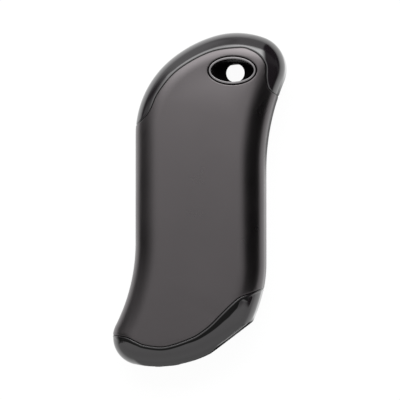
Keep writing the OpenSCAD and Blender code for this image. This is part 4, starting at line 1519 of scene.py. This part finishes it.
def tent_light(x, y):
    """Brightness of the tent above a place on the floor, with its dark cards at both sides."""
    along = np.interp(y, *zip(*TENT_ALONG))
    along *= 1 + UPPER_RIGHT_GAIN * smooth_step(x, -0.1, 0.02) * smooth_step(y, 0.05, 0.2)
    along *= 1 + UPPER_LEFT_GAIN * smooth_fall(x, -0.6, 0) * smooth_step(y, 0.5, 0.7)
    far = np.maximum(x - FAR_CARD, 0)
    beside = smooth_step(y + CARD_RISE * np.abs(x) + FAR_CARD_RISE * far, -0.10, -0.05)
    lean = RIGHT_LEAN * np.clip(y, -0.05, LEAN_HEIGHT)
    lean += UPPER_RIGHT_LEAN * np.maximum(y - LEAN_HEIGHT, 0)
    right = smooth_step(x + lean, 0.055, 0.24) * (1 - DARK_RIGHT)
    left = 1 - np.interp(-x, *zip(*LEFT_CARD))
    left *= 1 - UPPER_LEFT_LOSS * smooth_step(y / (0.1 + np.abs(x)), 0.5, 1.1)
    return along * (1 - beside * (right + left))


def floor_light(x, y):
    """Brightness of the floor: white at the body, then the tent's foot, and dim at the bottom."""
    body = Body(sizes())
    facet = Facet(body, sizes())
    plan = np.column_stack([x, y]) - body.shift[:2]
    inset, away = body.inset_at(plan)
    before = facet.before(plan)
    out = np.maximum(-inset, before)
    foot = TENT_REACH / np.maximum(np.maximum(np.abs(x), np.abs(y)), 0.001)
    white = np.where(x > 0.02, WHITE_RIGHT, WHITE_LEFT) + WHITE_TOP * np.clip(y / 0.06, 0, 1)
    hollow = (away[:, 0] > 0.5) * smooth_step(y, 0.005, 0.02) * smooth_fall(y, 0.035, 0.045)
    white *= 1 - HOLLOW_LOSS * hollow * smooth_fall(out, 0.003, 0.007)
    light = white + (tent_light(x * foot, y * foot) - white) * smooth_step(out, 0.02, 0.09)
    dim = np.ones(len(x))
    for at, way_in in DIM_SIDES:
        dim *= smooth_step((plan - at) @ way_in, 0, 0.003)
    light += (np.interp(out, *zip(*DIM_FLOOR)) - light) * dim
    near = dim * smooth_fall(np.abs((plan - facet.middle) @ facet.side), 0.0085, 0.0105)
    light *= 1 - near * smooth_fall(before, 0.0115, 0.0135)
    strip = smooth_step(before, 0.0125, 0.0145) * smooth_fall(before, 0.021, 0.026)
    return light + STRIP_LIGHT * near * strip


def light_sheet(name, place, material):
    """A square sheet over the stage that only glossy rays meet.

    place gives the height and the brightness at x and y.
    """
    grid = np.sinh(np.linspace(-TENT_CROWDING, TENT_CROWDING, TENT_GRID))
    grid *= TENT_REACH / np.sinh(TENT_CROWDING)
    x, y = (v.ravel() for v in np.meshgrid(grid, grid))
    height, light = place(x, y)
    rows = np.arange(len(x)).reshape(TENT_GRID, TENT_GRID)
    corners = (rows[:-1, :-1], rows[:-1, 1:], rows[1:, 1:], rows[1:, :-1])
    faces = np.column_stack([corner.ravel() for corner in corners]).tolist()
    thing = linked(name, marked(new_mesh(name, zip(x, y, height), faces), "light", light))
    thing.data.materials.append(material)
    for ray in ("camera", "diffuse", "transmission", "volume_scatter", "shadow"):
        setattr(thing, "visible_" + ray, False)


def tent():
    """A light tent and its floor, which only the object's reflections show."""
    cloth, tree, end = bare_material("tent_cloth")
    light = add_node(tree, "ShaderNodeAttribute", attribute_name="light")["Fac"]
    glow = add_node(tree, "ShaderNodeEmission", {"Strength": light})["Emission"]
    wire(tree, end, {"Surface": glow})
    cloth.cycles.emission_sampling = "NONE"

    def roof(x, y):
        edge = np.maximum(np.abs(x), np.abs(y)) / TENT_REACH
        return TENT_HEIGHT * np.clip(1 - edge ** TENT_SQUARENESS, 0, 1), tent_light(x, y)

    def ground(x, y):
        return np.full(len(x), TENT_FLOOR), floor_light(x, y)

    light_sheet("light_tent", roof, cloth)
    light_sheet("tent_floor", ground, cloth)


def soft_lamp():
    data = bpy.data.lights.new("soft_lamp", "AREA")
    data.shape = "RECTANGLE"
    data.size, data.size_y = LAMP_SIZE
    data.energy = LAMP_POWER
    thing = linked("soft_lamp", data)
    thing.location = LAMP_PLACE
    thing.rotation_euler = (TARGET - thing.location).to_track_quat("-Z", "Y").to_euler()
    thing.visible_glossy = False


class HANDWARMER_OT_stage(bpy.types.Operator):
    """Builds the floor, the studio surround, the lamp and the camera"""
    bl_idname = "hand_warmer.stage"
    bl_label = "Stage"

    def execute(self, context):
        floor()
        surround()
        tent()
        soft_lamp()
        camera()
        context.scene.view_settings.view_transform = "Standard"
        return {"FINISHED"}


OPERATORS = (
    HANDWARMER_OT_shells, HANDWARMER_OT_caps, HANDWARMER_OT_eyelet, HANDWARMER_OT_button,
    HANDWARMER_OT_lights, HANDWARMER_OT_screws, HANDWARMER_OT_inner_finishes, HANDWARMER_OT_stage,
)


class HANDWARMER_PT_panel(bpy.types.Panel):
    """Lists the pieces of the hand warmer"""
    bl_idname = "HANDWARMER_PT_panel"
    bl_label = "Hand Warmer"
    bl_space_type = "VIEW_3D"
    bl_region_type = "UI"
    bl_category = "Hand Warmer"

    def draw(self, context):
        for operator in OPERATORS:
            self.layout.operator(operator.bl_idname)
        for group in (sizes(), colours()):
            box = self.layout.box()
            for name in group.bl_rna.properties.keys():
                if name not in ("rna_type", "name"):
                    box.prop(group, name)


CLASSES = (HandWarmerSizes, HandWarmerColours) + OPERATORS + (HANDWARMER_PT_panel,)


def register():
    for each in CLASSES:
        bpy.utils.register_class(each)
    bpy.types.Scene.hand_warmer_sizes = PointerProperty(type=HandWarmerSizes)
    bpy.types.Scene.hand_warmer_colours = PointerProperty(type=HandWarmerColours)


def unregister():
    del bpy.types.Scene.hand_warmer_colours
    del bpy.types.Scene.hand_warmer_sizes
    for each in reversed(CLASSES):
        bpy.utils.unregister_class(each)


def main():
    register()
    bpy.ops.hand_warmer.shells()
    bpy.ops.hand_warmer.caps()
    bpy.ops.hand_warmer.eyelet()
    bpy.ops.hand_warmer.button()
    bpy.ops.hand_warmer.lights()
    bpy.ops.hand_warmer.screws()
    bpy.ops.hand_warmer.inner_finishes()
    bpy.ops.hand_warmer.stage()


if __name__ == "__main__":
    main()
